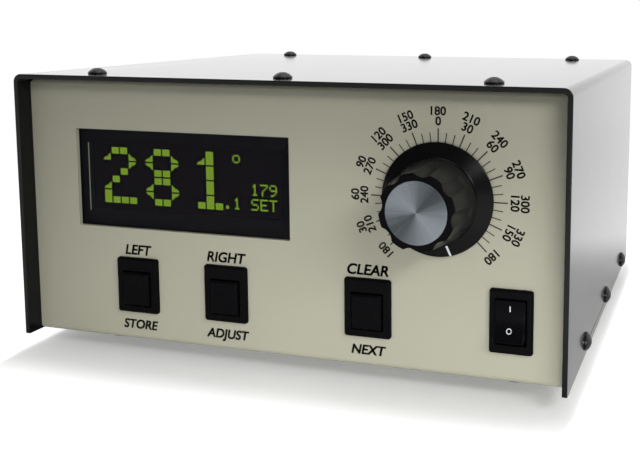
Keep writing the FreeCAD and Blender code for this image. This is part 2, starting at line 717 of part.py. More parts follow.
def cut_opening(sketch, width, height, x, y):
    """A rectangular cut-out, a little larger than what fits into it."""
    draw_box(sketch, width + 2 * cell.panel_gap, height + 2 * cell.panel_gap, x, y)


def cut_front_panel(body):
    """Cut-outs drawn as seen from the front."""
    holes = new_sketch(body, "front_cutouts", "XZ_Plane")
    draw_box(holes, cell.window_width, cell.window_height, cell.window_across, case_bottom + cell.window_up)
    for across in button_places().values():
        cut_opening(holes, housing_width, housing_height, across, case_bottom + cell.button_up)
    cut_opening(holes, switch_body_width, switch_body_height,
                cell.switch_across, case_bottom + cell.switch_up)
    draw_circle(holes, cell.bush_radius + cell.panel_gap, cell.dial_across, case_bottom + cell.dial_up)
    cut(body, holes, forwards=True)


def cut_rear_panel(body):
    holes = new_sketch(body, "rear_cutouts", "XZ_Plane")
    inlet_level, strip_level = case_bottom + cell.inlet_up, case_bottom + cell.strip_up
    port_level = case_bottom + cell.port_up
    cut_opening(holes, inlet_body_width, cell.inlet_body_height, cell.inlet_across, inlet_level)
    for side in (-1, 1):
        draw_circle(holes, screw_hole, cell.inlet_across + side * cell.inlet_screw_pitch / 2, inlet_level)
        draw_circle(holes, screw_hole, strip_across + side * strip_screw_reach, strip_level)
    for port in range(2):
        middle = cell.first_port_across - cell.port_pitch * port
        cut_opening(holes, cell.port_shell_width, cell.port_shell_height, middle, port_level)
        for side in (-1, 1):
            draw_circle(holes, passing_hole, middle + side * cell.jackscrew_pitch / 2, port_level)
    draw_circle(holes, cell.ground_stud_radius + cell.thread_gap,
                cell.stud_across, case_bottom + cell.stud_up)
    cut(body, holes)


# ---- screws, nuts and feet


def screw_outline(length, place, mirrored=False):
    """Half of a domed screw's outline, each corner put where the place rule says.

    The rule gets a distance from the screw's axis and one along it, the head above 0.
    """
    radius, head = cell.screw_radius, cell.screw_head_radius
    rise = cell.screw_head_height - cell.head_rim
    dome = (head * head + rise * rise) / (2 * rise)
    corners = [place(*corner) for corner in (
        (0, -length), (radius, -length), (radius, 0), (head, 0), (head, cell.head_rim),
        (0, cell.screw_head_height))]
    corners[4] += (-dome if mirrored else dome,)
    return corners


def draw_screw(body, name, length):
    """A case screw turned about the body's Z."""
    profile = new_sketch(body, name, "XZ_Plane")
    draw_outline(profile, screw_outline(length, lambda across, along: (across, along)))
    return turn(body, profile)


def draw_nut(body, name, flats, height, bore):
    """A hexagon nut on the body's XY plane."""
    hexagon = new_sketch(body, name)
    corner = flats / math.sqrt(3)
    turns = [math.radians(60 * step) for step in range(6)]
    draw_outline(hexagon, [(corner * math.cos(angle), corner * math.sin(angle)) for angle in turns])
    draw_circle(hexagon, bore)
    return pad(body, hexagon, height)


def make_case_screws():
    top = new_body("top_screws", -cell.top_screw_pitch, case_front + cell.top_screw_front, case_top)
    rows_apart = cell.cover_depth - cell.top_screw_front - cell.top_screw_rear
    row_of(top, [draw_screw(top, "top_screw", cell.screw_length)],
           "X_Axis", 2 * cell.top_screw_pitch, 3, "Y_Axis", rows_apart, 2)

    sides = new_body("side_screws", 0, *side_screw_spot(0))
    side = cell.cover_width / 2
    rules = (("left", False, lambda across, along: (-side - along, across)),
             ("right", True, lambda across, along: (side + along, across)))
    pair = []
    for name, mirrored, place in rules:
        profile = new_sketch(sides, "side_screw_" + name, "XZ_Plane")
        draw_outline(profile, screw_outline(cell.screw_length, place, mirrored))
        pair.append(turn(sides, profile, "H_Axis"))
    row_of(sides, pair, "Y_Axis", 2 * cell.side_screw_pitch, 3)


def make_feet():
    corner = (-feet_apart_x / 2, case_centre - feet_apart_y / 2)
    grid = ("X_Axis", feet_apart_x, 2, "Y_Axis", feet_apart_y, 2)
    recess = cell.screw_head_radius + cell.foot_recess_gap
    feet = new_body("feet", *corner, 0)
    profile = new_sketch(feet, "foot_profile", "XZ_Plane")
    draw_outline(profile, [
        (recess, 0), (cell.foot_base_radius, 0), (cell.foot_top_radius, cell.foot_height),
        (passing_hole, cell.foot_height), (passing_hole, cell.foot_recess), (recess, cell.foot_recess),
    ])
    row_of(feet, [turn(feet, profile)], *grid)

    screws = new_body("foot_screws", *corner, cell.foot_recess)
    reach = bottom_top + cell.nut_height + cell.thread_reach - cell.foot_recess
    profile = new_sketch(screws, "foot_screw", "XZ_Plane")
    draw_outline(profile, screw_outline(reach, lambda across, along: (across, -along), mirrored=True))
    row_of(screws, [turn(screws, profile)], *grid)

    nuts = new_body("foot_nuts", *corner, bottom_top)
    row_of(nuts, [draw_nut(nuts, "foot_nut", cell.nut_flats, cell.nut_height, screw_hole)], *grid)


# ---- display


def make_window():
    centre = (cell.window_across, panel_face, case_bottom + cell.window_up)
    window = new_body("display_window", *centre, FACING_FRONT)
    outline = new_sketch(window, "window_sheet_outline", "XY_Plane", -window_back)
    draw_box(outline, cell.window_width + 2 * cell.window_lap, cell.window_height + 2 * cell.window_lap)
    pad(window, outline, cell.window_sheet)


def make_display():
    centre = (cell.display_across, panel_face, case_bottom + cell.display_up)
    skin = cell.display_frame_skin

    frame = new_body("display_frame", *centre, FACING_FRONT)
    outline = new_sketch(frame, "display_frame_outline", "XY_Plane", -display_board_front)
    draw_box(outline, cell.display_frame_width, cell.display_frame_height)
    pad(frame, outline, cell.display_frame_depth)
    hollow = new_sketch(frame, "display_frame_hollow", "XY_Plane", -window_back - skin)
    draw_box(hollow, cell.display_frame_width - 2 * skin, cell.display_frame_height - 2 * skin)
    cut(frame, hollow, cell.display_frame_depth)
    opening = new_sketch(frame, "display_frame_opening", "XY_Plane", -window_back)
    draw_box(opening, cell.view_width, cell.view_height)
    cut(frame, opening, 2 * skin)

    glass_front = window_back + skin
    glass_back = glass_front + cell.glass_thickness
    for label, front, back in (("display_glass", glass_front, glass_back),
                               ("display_backlight", glass_back, display_board_front)):
        layer = new_body(label, *centre, FACING_FRONT)
        outline = new_sketch(layer, label + "_outline", "XY_Plane", -back)
        draw_box(outline, cell.view_width + 2 * cell.glass_lap, cell.view_height + 2 * cell.glass_lap)
        pad(layer, outline, back - front)

    board = new_body("display_board", *centre, FACING_FRONT)
    outline = new_sketch(board, "display_board_outline", "XY_Plane", -display_board_front)
    draw_box(outline, cell.display_board_width, cell.display_board_height)
    for x_side in (-1, 1):
        for y_side in (-1, 1):
            draw_circle(outline, passing_hole,
                        x_side * cell.display_hole_x / 2, y_side * cell.display_hole_y / 2)
    pad(board, outline, cell.board_thickness, backwards=True)


def make_display_studs():
    """The studs on the back of the front panel that carry the display board, and their nuts."""
    left = cell.display_across - cell.display_hole_x / 2
    low = case_bottom + cell.display_up - cell.display_hole_y / 2
    grid = ("X_Axis", cell.display_hole_x, 2, "Y_Axis", cell.display_hole_y, 2)
    nut_back = display_board_front + cell.board_thickness + cell.nut_height
    stud_end = nut_back + cell.thread_reach

    studs = new_body("display_studs", left, panel_face, low, FACING_FRONT)
    profile = new_sketch(studs, "display_stud", "XZ_Plane")
    draw_outline(profile, [
        (0, -cell.sheet_wall), (cell.stud_radius, -cell.sheet_wall),
        (cell.stud_radius, -display_board_front), (cell.screw_radius, -display_board_front),
        (cell.screw_radius, -stud_end), (0, -stud_end),
    ])
    row_of(studs, [turn(studs, profile)], *grid)
    nuts = new_body("display_nuts", left, panel_face + nut_back, low, FACING_FRONT)
    row_of(nuts, [draw_nut(nuts, "display_nut", cell.nut_flats, cell.nut_height, screw_hole)], *grid)


# ---- push buttons


def button_places():
    return {
        "left": cell.left_button_across,
        "right": cell.right_button_across,
        "clear": cell.clear_button_across,
    }


def make_button(name, across):
    place = (across, panel_face, case_bottom + cell.button_up)
    housing = new_body(name + "_button_housing", *place, FACING_FRONT)
    bezel = new_sketch(housing, name + "_bezel")
    draw_box(bezel, housing_width + 2 * cell.bezel_lap_x, housing_height + 2 * cell.bezel_lap_y)
    pad(housing, bezel, cell.bezel_proud)
    round_edges(housing, "_corners", cell.bezel_corner, lambda edge: runs_along(edge, Vector(0, 0, 1)))
    bevel_edges(housing, "_bevel", cell.bezel_bevel, lambda edge: at_height(edge, cell.bezel_proud))
    case = new_sketch(housing, name + "_case")
    draw_box(case, housing_width, housing_height)
    pad(housing, case, cell.housing_depth, backwards=True)
    well = new_sketch(housing, name + "_well", "XY_Plane", cell.bezel_proud)
    draw_box(well, well_width, well_height, 0, -cell.cap_drop)
    cut(housing, well, cell.well_depth)
    bore = new_sketch(housing, name + "_bore")
    draw_circle(bore, cell.stem_radius + cell.slide_gap, 0, -cell.cap_drop)
    cut(housing, bore)

    cap_front = cell.bezel_proud + cell.cap_proud
    cap_back = cell.cap_depth - cap_front
    cap = new_body(name + "_button", *place, FACING_FRONT)
    face = new_sketch(cap, name + "_cap", "XY_Plane", -cap_back)
    draw_box(face, cell.cap_width, cell.cap_height, 0, -cell.cap_drop)
    pad(cap, face, cell.cap_depth)
    bevel_edges(cap, "_bevel", cell.cap_bevel, lambda edge: at_height(edge, cap_front))
    stem = new_sketch(cap, name + "_stem", "XY_Plane", -cap_back)
    draw_circle(stem, cell.stem_radius, 0, -cell.cap_drop)
    pad(cap, stem, cell.housing_depth - cap_back - cell.button_travel, backwards=True)

    make_spring(name + "_button_spring", place, -cap_back, cell.bezel_proud - cell.well_depth)


def make_spring(label, place, front, back):
    """A helical compression spring of six-sided wire, between two depths of a front-facing frame."""
    wire, middle = cell.spring_wire.number, cell.spring_radius.number
    length = front.number - back.number - 2 * wire
    helix = Part.makeHelix(length / cell.spring_turns.number, length, middle)
    turns = [math.radians(60 * step + 30) for step in range(7)]
    section = Part.makePolygon([Vector(middle + wire * math.cos(angle), 0, wire * math.sin(angle))
                                for angle in turns])
    spring = doc.addObject("Part::Feature", label)
    spring.Label = label
    spring.Shape = Part.Wire(helix).makePipeShell([section], True, True)
    in_well = Placement(Vector(0, -cell.cap_drop.number, back.number + wire), Rotation())
    at_button = Placement(Vector(*(sized(value).number for value in place)), FACING_FRONT)
    spring.Placement = at_button * in_well
    sub_parts.append(spring)


# ---- rocker switch


def make_switch():
    place = (cell.switch_across, panel_face, case_bottom + cell.switch_up)
    housing = new_body("switch_housing", *place, FACING_FRONT)
    bezel = new_sketch(housing, "switch_bezel")
    draw_box(bezel, switch_body_width + 2 * cell.switch_lap_x, switch_body_height + 2 * cell.switch_lap_y)
    pad(housing, bezel, cell.switch_proud)
    round_edges(housing, "_corners", cell.switch_corner, lambda edge: runs_along(edge, Vector(0, 0, 1)))
    bevel_edges(housing, "_bevel", cell.switch_bevel, lambda edge: at_height(edge, cell.switch_proud))
    case = new_sketch(housing, "switch_case")
    draw_box(case, switch_body_width, switch_body_height)
    pad(housing, case, cell.switch_body_depth, backwards=True)
    well = new_sketch(housing, "switch_well", "XY_Plane", cell.switch_proud)
    draw_box(well, rocker_well_width, rocker_well_height)
    cut(housing, well, cell.switch_proud + cell.rocker_half)
    pivot = new_sketch(housing, "switch_pivot_hole", "YZ_Plane")
    draw_circle(pivot, cell.pivot_radius + cell.slide_gap)
    cut(housing, pivot, switch_body_width, symmetric=True)

    blades = new_body("switch_terminals", *place, FACING_FRONT)
    for name, up in (("low", -1), ("middle", 0), ("high", 1)):
        blade = new_sketch(blades, "switch_blade_" + name, "XY_Plane", -cell.switch_body_depth)
        draw_box(blade, cell.switch_blade_width, cell.switch_blade_sheet, 0, up * cell.switch_blade_pitch)
        pad(blades, blade, cell.switch_blade_length, backwards=True)


def make_rocker():
    """The rocker's own origin is on its pivot, and it is stored with its upper end pressed in."""
    tilt = Rotation(Vector(1, 0, 0), -sheet.get("rocker_tilt"))
    rocker = new_body("power_rocker", cell.switch_across, panel_face, case_bottom + cell.switch_up,
                      FACING_FRONT * tilt)
    end, rise, dish = cell.rocker_half, cell.rocker_rise, cell.rocker_dish
    flank, keel = end - cell.rocker_flank_in, end - cell.rocker_keel_in
    hollow = (end * end + dish * dish) / (2 * dish)
    side = new_sketch(rocker, "rocker_side", "YZ_Plane")
    draw_outline(side, [
        (-end, rise), (-flank, -cell.rocker_flank_drop), (-keel, -cell.rocker_keel),
        (keel, -cell.rocker_keel), (flank, -cell.rocker_flank_drop), (end, rise, -hollow),
    ])
    pad(rocker, side, cell.rocker_width, symmetric=True)
    pins = new_sketch(rocker, "rocker_pins", "YZ_Plane")
    draw_circle(pins, cell.pivot_radius)
    pad(rocker, pins, switch_body_width - 2 * cell.panel_gap, symmetric=True)


# ---- dial


def make_potentiometer():
    place = (cell.dial_across, panel_face, case_bottom + cell.dial_up)
    can_front = cell.sheet_wall
    can_back = can_front + cell.pot_depth
    bore = cell.shaft_radius + cell.slide_gap
    inside = cell.pot_radius - cell.pot_wall
    pot = new_body("dial_potentiometer", *place, FACING_FRONT)
    profile = new_sketch(pot, "potentiometer_profile", "XZ_Plane")
    draw_outline(profile, [
        (bore, cell.bush_front), (cell.bush_radius, cell.bush_front), (cell.bush_radius, -can_front),
        (cell.pot_radius, -can_front), (cell.pot_radius, -can_back), (0, -can_back),
        (0, cell.pot_wall - can_back), (inside, cell.pot_wall - can_back),
        (inside, -can_front - cell.pot_wall), (bore, -can_front - cell.pot_wall),
    ])
    turn(pot, profile)

    shaft = new_body("dial_shaft", *place, FACING_FRONT)
    profile = new_sketch(shaft, "shaft_profile", "XZ_Plane")
    wiper = inside - cell.wiper_gap
    wiper_front = can_front + cell.pot_wall + cell.wiper_gap
    wiper_back = wiper_front + cell.wiper_sheet
    shaft_back = can_back - cell.pot_wall - cell.wiper_gap
    draw_outline(profile, [
        (0, cell.shaft_front), (cell.shaft_radius - cell.shaft_bevel, cell.shaft_front),
        (cell.shaft_radius, cell.shaft_front - cell.shaft_bevel), (cell.shaft_radius, -wiper_front),
        (wiper, -wiper_front), (wiper, -wiper_back), (cell.shaft_radius, -wiper_back),
        (cell.shaft_radius, -shaft_back), (0, -shaft_back),
    ])
    turn(shaft, profile)

    bush_hole = cell.bush_radius + cell.thread_gap
    washer = new_body("dial_washer", *place, FACING_FRONT)
    ring = new_sketch(washer, "washer_ring")
    draw_circle(ring, cell.dial_washer_radius)
    draw_circle(ring, bush_hole)
    pad(washer, ring, cell.dial_washer_height)
    nut = new_body("dial_nut", cell.dial_across, panel_face - cell.dial_washer_height,
                   case_bottom + cell.dial_up, FACING_FRONT)
    draw_nut(nut, "dial_nut_outline", cell.dial_nut_flats, cell.dial_nut_height, bush_hole)


def knob_body(label):
    """A body whose own +Y is the knob's pointer, turned to the clockwise stop."""
    stop = Rotation(Vector(0, 0, 1), -sheet.get("pointer_angle"))
    return new_body(label, cell.dial_across, panel_face, case_bottom + cell.dial_up, FACING_FRONT * stop)


def make_knob():
    insert_hole = cell.insert_radius + cell.thread_gap
    inlay_hole = cell.inlay_radius + cell.thread_gap
    skirt_bottom, skirt_top = cell.skirt_gap, cell.skirt_gap + cell.skirt_edge
    rim, fillet = cell.hub_rim_radius, cell.shoulder_fillet
    knob = knob_body("dial_knob")
    profile = new_sketch(knob, "knob_profile", "XZ_Plane")
    draw_outline(profile, [
        (0, shaft_pocket), (insert_hole, shaft_pocket), (insert_hole, cell.nut_well_height),
        (cell.nut_well_radius, cell.nut_well_height),
        (cell.nut_well_radius, skirt_bottom + cell.skirt_dish),
        (cell.skirt_radius, skirt_bottom), (cell.skirt_radius, skirt_top),
        (cell.hub_base_radius + fillet, cell.shoulder_height - fillet, -1.2 * fillet),
        (cell.hub_base_radius, cell.shoulder_height), (rim, cell.rim_height, cell.rim_round),
        (rim - cell.crown_inset, cell.crown_height), (inlay_hole, cell.crown_height),
        (inlay_hole, inlay_floor), (0, inlay_floor),
    ])
    turn(knob, profile)
    cut_flutes(knob)
    drill_set_screw_hole(knob)

    inlay = knob_body("knob_inlay")
    disc = new_sketch(inlay, "inlay_disc", "XY_Plane", inlay_floor)
    draw_circle(disc, cell.inlay_radius)
    pad(inlay, disc, cell.inlay_depth)


def cut_flutes(knob):
    """Round-ended flutes up the hub, cut by turning a ball-ended cutter's outline on its own axis.

    The cutter leans, so each flute fades towards its foot. The pointer is above the land
    between two of them.
    """
    lean = math.radians(sheet.get("flute_lean"))
    at_crown = cell.hub_rim_radius - cell.flute_depth
    near = at_crown * math.cos(lean) + cell.crown_height * math.sin(lean)
    cutter_across = near + cell.flute_radius
    tip = cell.flute_foot - cell.flute_radius
    top = cell.crown_height + cell.flute_overrun
    sketch = new_sketch(knob, "knob_flute_cutter", "XZ_Plane")
    half_pitch = Rotation(Vector(0, 1, 0), 180 / sheet.get("flute_count"))
    leaned = Rotation(Vector(0, 0, 1), sheet.get("flute_lean"))
    sketch.AttachmentOffset = Placement(Vector(), half_pitch * leaned)
    axis = sketch.addGeometry(Part.LineSegment(spot(cutter_across, tip), spot(cutter_across, top)), True)
    tie_corner(sketch, axis, 1, cutter_across, tip)
    tie_corner(sketch, axis, 2, cutter_across, top)
    draw_outline(sketch, [(cutter_across, tip), (cutter_across, top), (near, top),
                          (near, cell.flute_foot, cell.flute_radius)])
    before = knob.Shape.Volume
    flute = knob.newObject("PartDesign::Groove", "knob_flute")
    flute.Profile = sketch
    flute.ReferenceAxis = (sketch, ["Axis0"])
    flute.Angle = 360
    settle(knob, flute)
    if knob.Shape.Volume > before - 1:
        raise RuntimeError("the flute cuts nothing")
    ring = knob.newObject("PartDesign::PolarPattern", "knob_flutes")
    ring.Originals = [flute]
    ring.Axis = (origin_feature(knob, "Z_Axis"), [""])
    ring.Angle = 360
    bind(ring, "Occurrences", cell.flute_count)
    settle(knob, ring)


def drill_set_screw_hole(body):
    """The set screw's hole, on the side away from the pointer."""
    hole = new_sketch(body, body.Name + "_screw_hole", "XZ_Plane")
    draw_circle(hole, cell.set_screw_radius + cell.thread_gap, 0, cell.set_screw_height)
    cut(body, hole, forwards=True)


def make_knob_insert():
    bore = cell.shaft_radius + cell.slide_gap
    end = shaft_pocket - cell.insert_gap
    insert = knob_body("knob_insert")
    profile = new_sketch(insert, "insert_profile", "XZ_Plane")
    draw_outline(profile, [
        (bore, cell.nut_well_height), (cell.insert_radius, cell.nut_well_height), (cell.insert_radius, end),
        (0, end), (0, end - cell.insert_cap), (bore, end - cell.insert_cap),
    ])
    turn(insert, profile)
    drill_set_screw_hole(insert)

    screw = knob_body("knob_set_screw")
    outline = new_sketch(screw, "set_screw_end", "XZ_Plane", bore)
    draw_circle(outline, cell.set_screw_radius, 0, cell.set_screw_height)
    pad(screw, outline, cell.set_screw_length)


# ---- inside


def board_hole(x_side, y_side):
    """X and Y of one of the main board's four holes."""
    return (cell.main_board_across + x_side * (cell.main_board_width / 2 - cell.board_inset),
            case_centre + cell.main_board_back + y_side * (cell.main_board_depth / 2 - cell.board_inset))


def make_main_board():
    middle_x, middle_y = cell.main_board_across, case_centre + cell.main_board_back
    board = new_body("main_board", middle_x, middle_y, board_top - cell.board_thickness)
    outline = new_sketch(board, "main_board_outline")
    draw_box(outline, cell.main_board_width, cell.main_board_depth)
    for x_side in (-1, 1):
        for y_side in (-1, 1):
            x, y = board_hole(x_side, y_side)
            draw_circle(outline, passing_hole, x - middle_x, y - middle_y)
    pad(board, outline, cell.board_thickness)

    corner = board_hole(-1, -1)
    grid = ("X_Axis", cell.main_board_width - 2 * cell.board_inset, 2,
            "Y_Axis", cell.main_board_depth - 2 * cell.board_inset, 2)
    posts = new_body("board_standoffs", *corner, bottom_top)
    ring = new_sketch(posts, "board_standoff")
    draw_circle(ring, cell.stud_radius)
    draw_circle(ring, screw_hole)
    row_of(posts, [pad(posts, ring, cell.main_board_raise)], *grid)
    screws = new_body("board_screws", *corner, board_top)
    row_of(screws, [draw_screw(screws, "board_screw", cell.screw_length)], *grid)


def make_board_parts():
    """The larger parts on the main board, each placed from the board's middle."""
    chip = on_board("control_chip", cell.chip_across, cell.chip_back)
    block = new_sketch(chip, "chip_block")
    draw_box(block, cell.chip_width, cell.chip_length)
    pad(chip, block, cell.chip_height)

    regulator = on_board("voltage_regulator", cell.regulator_across, cell.regulator_back)
    block = new_sketch(regulator, "regulator_block")
    draw_box(block, cell.regulator_width, cell.regulator_depth)
    pad(regulator, block, cell.regulator_height)

    relays = on_board("relays", cell.relay_across, cell.relay_back)
    block = new_sketch(relays, "relay_block")
    draw_box(block, cell.relay_width, cell.relay_length)
    row_of(relays, [pad(relays, block, cell.relay_height)], "Y_Axis", 2 * cell.relay_pitch, 3)

    cans = on_board("filter_capacitors", cell.capacitor_across, cell.capacitor_back)
    can = new_sketch(cans, "capacitor_can")
    draw_circle(can, cell.capacitor_radius)
    row_of(cans, [pad(cans, can, cell.capacitor_height)], "X_Axis", cell.capacitor_pitch, 2)


def on_board(label, across, back):
    return new_body(label, cell.main_board_across + across,
                    case_centre + cell.main_board_back + back, board_top)


def make_transformer():
    place = (cell.transformer_across, case_centre + cell.transformer_back, bottom_top)
    window_height = cell.core_height - 2 * cell.core_yoke
    window_width = (cell.core_width - 2 * cell.core_yoke - cell.core_leg) / 2
    window_across = cell.core_leg / 2 + window_width / 2
    core = new_body("transformer_core", *place)
    face = new_sketch(core, "lamination", "XZ_Plane")
    draw_box(face, cell.core_width, cell.core_height, 0, cell.core_height / 2)
    for side in (-1, 1):
        draw_box(face, window_width, window_height, side * window_across, cell.core_height / 2)
    pad(core, face, cell.core_stack, symmetric=True)

    coil = new_body("transformer_winding", *place)
    ring = new_sketch(coil, "winding_outline", "XY_Plane", cell.core_yoke + cell.coil_gap)
    draw_box(ring, cell.core_leg + 2 * window_width - 2 * cell.coil_gap,
             cell.core_stack + 2 * cell.coil_overhang)
    draw_box(ring, cell.core_leg + 2 * cell.coil_gap, cell.core_stack + 2 * cell.coil_gap)
    pad(coil, ring, window_height - 2 * cell.coil_gap)
    outside = cell.core_stack.number / 2 + cell.coil_overhang.number - 0.01
    round_edges(coil, "_corners", cell.coil_corner, lambda edge: (
        runs_along(edge, Vector(0, 0, 1)) and abs(edge.CenterOfMass.y) > outside))


def make_transformer_strap():
    middle_y = case_centre + cell.transformer_back
    inner = cell.core_width / 2
    outer = inner + cell.strap_wall
    foot = outer + cell.strap_foot
    roof = cell.core_height
    strap = new_body("transformer_strap", cell.transformer_across, middle_y, bottom_top)
    profile = new_sketch(strap, "strap_profile", "XZ_Plane")
    draw_outline(profile, [
        (-foot, 0), (-inner, 0), (-inner, roof), (inner, roof), (inner, 0), (foot, 0),
        (foot, cell.strap_wall), (outer, cell.strap_wall), (outer, roof + cell.strap_wall),
        (-outer, roof + cell.strap_wall), (-outer, cell.strap_wall), (-foot, cell.strap_wall),
    ])
    pad(strap, profile, cell.strap_width, symmetric=True)
    holes = new_sketch(strap, "strap_holes", "XY_Plane", cell.strap_wall)
    for side in (-1, 1):
        draw_circle(holes, passing_hole, side * strap_hole_reach, 0)
    cut(strap, holes, cell.strap_wall)

    screws = new_body("transformer_screws", cell.transformer_across - strap_hole_reach, middle_y,
                      bottom_top + cell.strap_wall)
    screw = draw_screw(screws, "transformer_screw", cell.strap_wall + cell.sheet_wall + cell.thread_reach)
    row_of(screws, [screw], "X_Axis", 2 * strap_hole_reach, 2)


# ---- rear panel, each part in a frame that faces the rear


def make_inlet():
    place = (cell.inlet_across, rear_face, case_bottom + cell.inlet_up)
    face = cell.inlet_flange_proud
    inlet = new_body("mains_inlet", *place, FACING_REAR)
    flange = new_sketch(inlet, "inlet_flange")
    draw_box(flange, cell.inlet_flange_width, cell.inlet_flange_height)
    for side in (-1, 1):
        draw_circle(flange, passing_hole, side * cell.inlet_screw_pitch / 2, 0)
    pad(inlet, flange, face)
    outside = cell.inlet_flange_width.number / 2 - 0.01
    round_edges(inlet, "_corners", cell.inlet_corner, lambda edge: (
        runs_along(edge, Vector(0, 0, 1)) and abs(edge.CenterOfMass.x) > outside))
    case = new_sketch(inlet, "inlet_case")
    draw_box(case, inlet_body_width, cell.inlet_body_height)
    pad(inlet, case, inlet_body_depth, backwards=True)

    half, nip = cell.socket_width / 2, cell.socket_corner
    low, high = cell.socket_rise - cell.socket_height / 2, cell.socket_rise + cell.socket_height / 2
    socket = new_sketch(inlet, "inlet_socket", "XY_Plane", face)
    draw_outline(socket, [(-half, low), (half, low), (half, high - nip), (half - nip, high),
                          (nip - half, high), (-half, high - nip)])
    cut(inlet, socket, cell.socket_depth)
    slot = new_sketch(inlet, "drawer_slot", "XY_Plane", face)
    draw_box(slot, cell.drawer_width + 2 * cell.drawer_gap, cell.drawer_height + 2 * cell.drawer_gap,
             0, -cell.drawer_drop)
    cut(inlet, slot, cell.drawer_depth + cell.drawer_gap)

    screws = new_body("inlet_screws", cell.inlet_across + cell.inlet_screw_pitch / 2, rear_face + face,
                      case_bottom + cell.inlet_up, FACING_REAR)
    row_of(screws, [draw_screw(screws, "inlet_screw", cell.screw_length)],
           "X_Axis", cell.inlet_screw_pitch, 2)


def make_inlet_blades():
    place = (cell.inlet_across, rear_face, case_bottom + cell.inlet_up)
    blades = new_body("inlet_blades", *place, FACING_REAR)
    socket_floor = cell.inlet_flange_proud - cell.socket_depth
    for name, across, up in (("live", 1, 0), ("neutral", -1, 0), ("earth", 0, 1)):
        blade = new_sketch(blades, "blade_" + name, "XY_Plane", socket_floor)
        draw_box(blade, cell.blade_width, cell.blade_height, across * cell.blade_pitch / 2,
                 cell.socket_rise + (up - 0.5) * cell.earth_rise)
        pad(blades, blade, cell.blade_length)


def make_fuse_drawer():
    place = (cell.inlet_across, rear_face, case_bottom + cell.inlet_up)
    face = cell.inlet_flange_proud
    fuse_middle = face - cell.drawer_depth / 2
    drawer = new_body("fuse_drawer", *place, FACING_REAR)
    block = new_sketch(drawer, "drawer_block", "XY_Plane", face)
    draw_box(block, cell.drawer_width, cell.drawer_height, 0, -cell.drawer_drop)
    pad(drawer, block, cell.drawer_depth, backwards=True)
    trough = new_sketch(drawer, "drawer_trough", "XZ_Plane", cell.drawer_drop + cell.drawer_height / 2)
    draw_box(trough, cell.fuse_length + 2 * cell.fuse_gap, 2 * (cell.fuse_radius + cell.fuse_gap),
             0, fuse_middle)
    cut(drawer, trough, cell.drawer_height / 2 + cell.fuse_radius)
    notch = new_sketch(drawer, "drawer_notch", "XY_Plane", face)
    draw_box(notch, cell.notch_width, cell.notch_height, 0, -cell.drawer_drop)
    cut(drawer, notch, cell.notch_depth)

    fuse = new_body("fuse", *place, FACING_REAR)
    end = new_sketch(fuse, "fuse_end", "YZ_Plane")
    draw_circle(end, cell.fuse_radius, -cell.drawer_drop, fuse_middle)
    pad(fuse, end, cell.fuse_length, symmetric=True)


def draw_dee(sketch, inset):
    """The shape of a serial port's shell, narrower along its lower side, drawn inside it by the inset."""
    half, tall = cell.port_shell_width / 2 - inset, cell.port_shell_height / 2 - inset
    narrow = half - cell.port_shell_slope
    draw_outline(sketch, [(-narrow, -tall), (narrow, -tall), (half, tall), (-half, tall)])


def make_ports():
    place = (cell.first_port_across, rear_face, case_bottom + cell.port_up)
    wall = cell.sheet_wall
    row = ("X_Axis", cell.port_pitch, 2)
    shells = new_body("serial_ports", *place, FACING_REAR)
    flange = new_sketch(shells, "port_flange", "XY_Plane", -wall)
    draw_box(flange, cell.port_flange_width, cell.port_flange_height)
    for side in (-1, 1):
        draw_circle(flange, passing_hole, side * cell.jackscrew_pitch / 2, 0)
    block = new_sketch(shells, "port_block", "XY_Plane", -wall - cell.port_flange_sheet)
    draw_box(block, cell.port_block_width, cell.port_block_height)
    shell = new_sketch(shells, "port_shell", "XY_Plane", -wall)
    draw_dee(shell, sized(0))
    hollow = new_sketch(shells, "port_hollow", "XY_Plane", cell.port_shell_proud)
    draw_dee(hollow, cell.port_shell_wall)
    row_of(shells, [
        pad(shells, flange, cell.port_flange_sheet, backwards=True),
        pad(shells, block, cell.port_depth - cell.port_flange_sheet, backwards=True),
        pad(shells, shell, wall + cell.port_shell_proud),
        cut(shells, hollow, wall + cell.port_shell_proud),
    ], *row)

    inserts = new_body("serial_port_inserts", *place, FACING_REAR)
    insert_front = cell.port_shell_proud - cell.pin_block_sunk
    block = new_sketch(inserts, "pin_block", "XY_Plane", -wall)
    draw_dee(block, cell.port_shell_wall + cell.thread_gap)
    pins = new_sketch(inserts, "pin_holes", "XY_Plane", insert_front)
    for count, up in ((5, 1), (4, -1)):
        for step in range(count):
            draw_circle(pins, cell.pin_hole, (step - (count - 1) / 2) * cell.pin_pitch,
                        up * cell.pin_rows / 2)
    row_of(inserts, [pad(inserts, block, wall + insert_front), cut(inserts, pins, cell.pin_depth)], *row)


def make_jackscrews():
    jacks = new_body("serial_jackscrews", cell.first_port_across + cell.jackscrew_pitch / 2, rear_face,
                     case_bottom + cell.port_up, FACING_REAR)
    head = draw_nut(jacks, "jackscrew_head", cell.jackscrew_flats, cell.jackscrew_height,
                    cell.jackscrew_bore)
    shank = new_sketch(jacks, "jackscrew_shank")
    draw_circle(shank, cell.screw_radius)
    stem = pad(jacks, shank, cell.sheet_wall + cell.port_flange_sheet + cell.thread_reach, backwards=True)
    row_of(jacks, [head, stem], "X_Axis", cell.jackscrew_pitch, 2, "X_Axis", cell.port_pitch, 2)


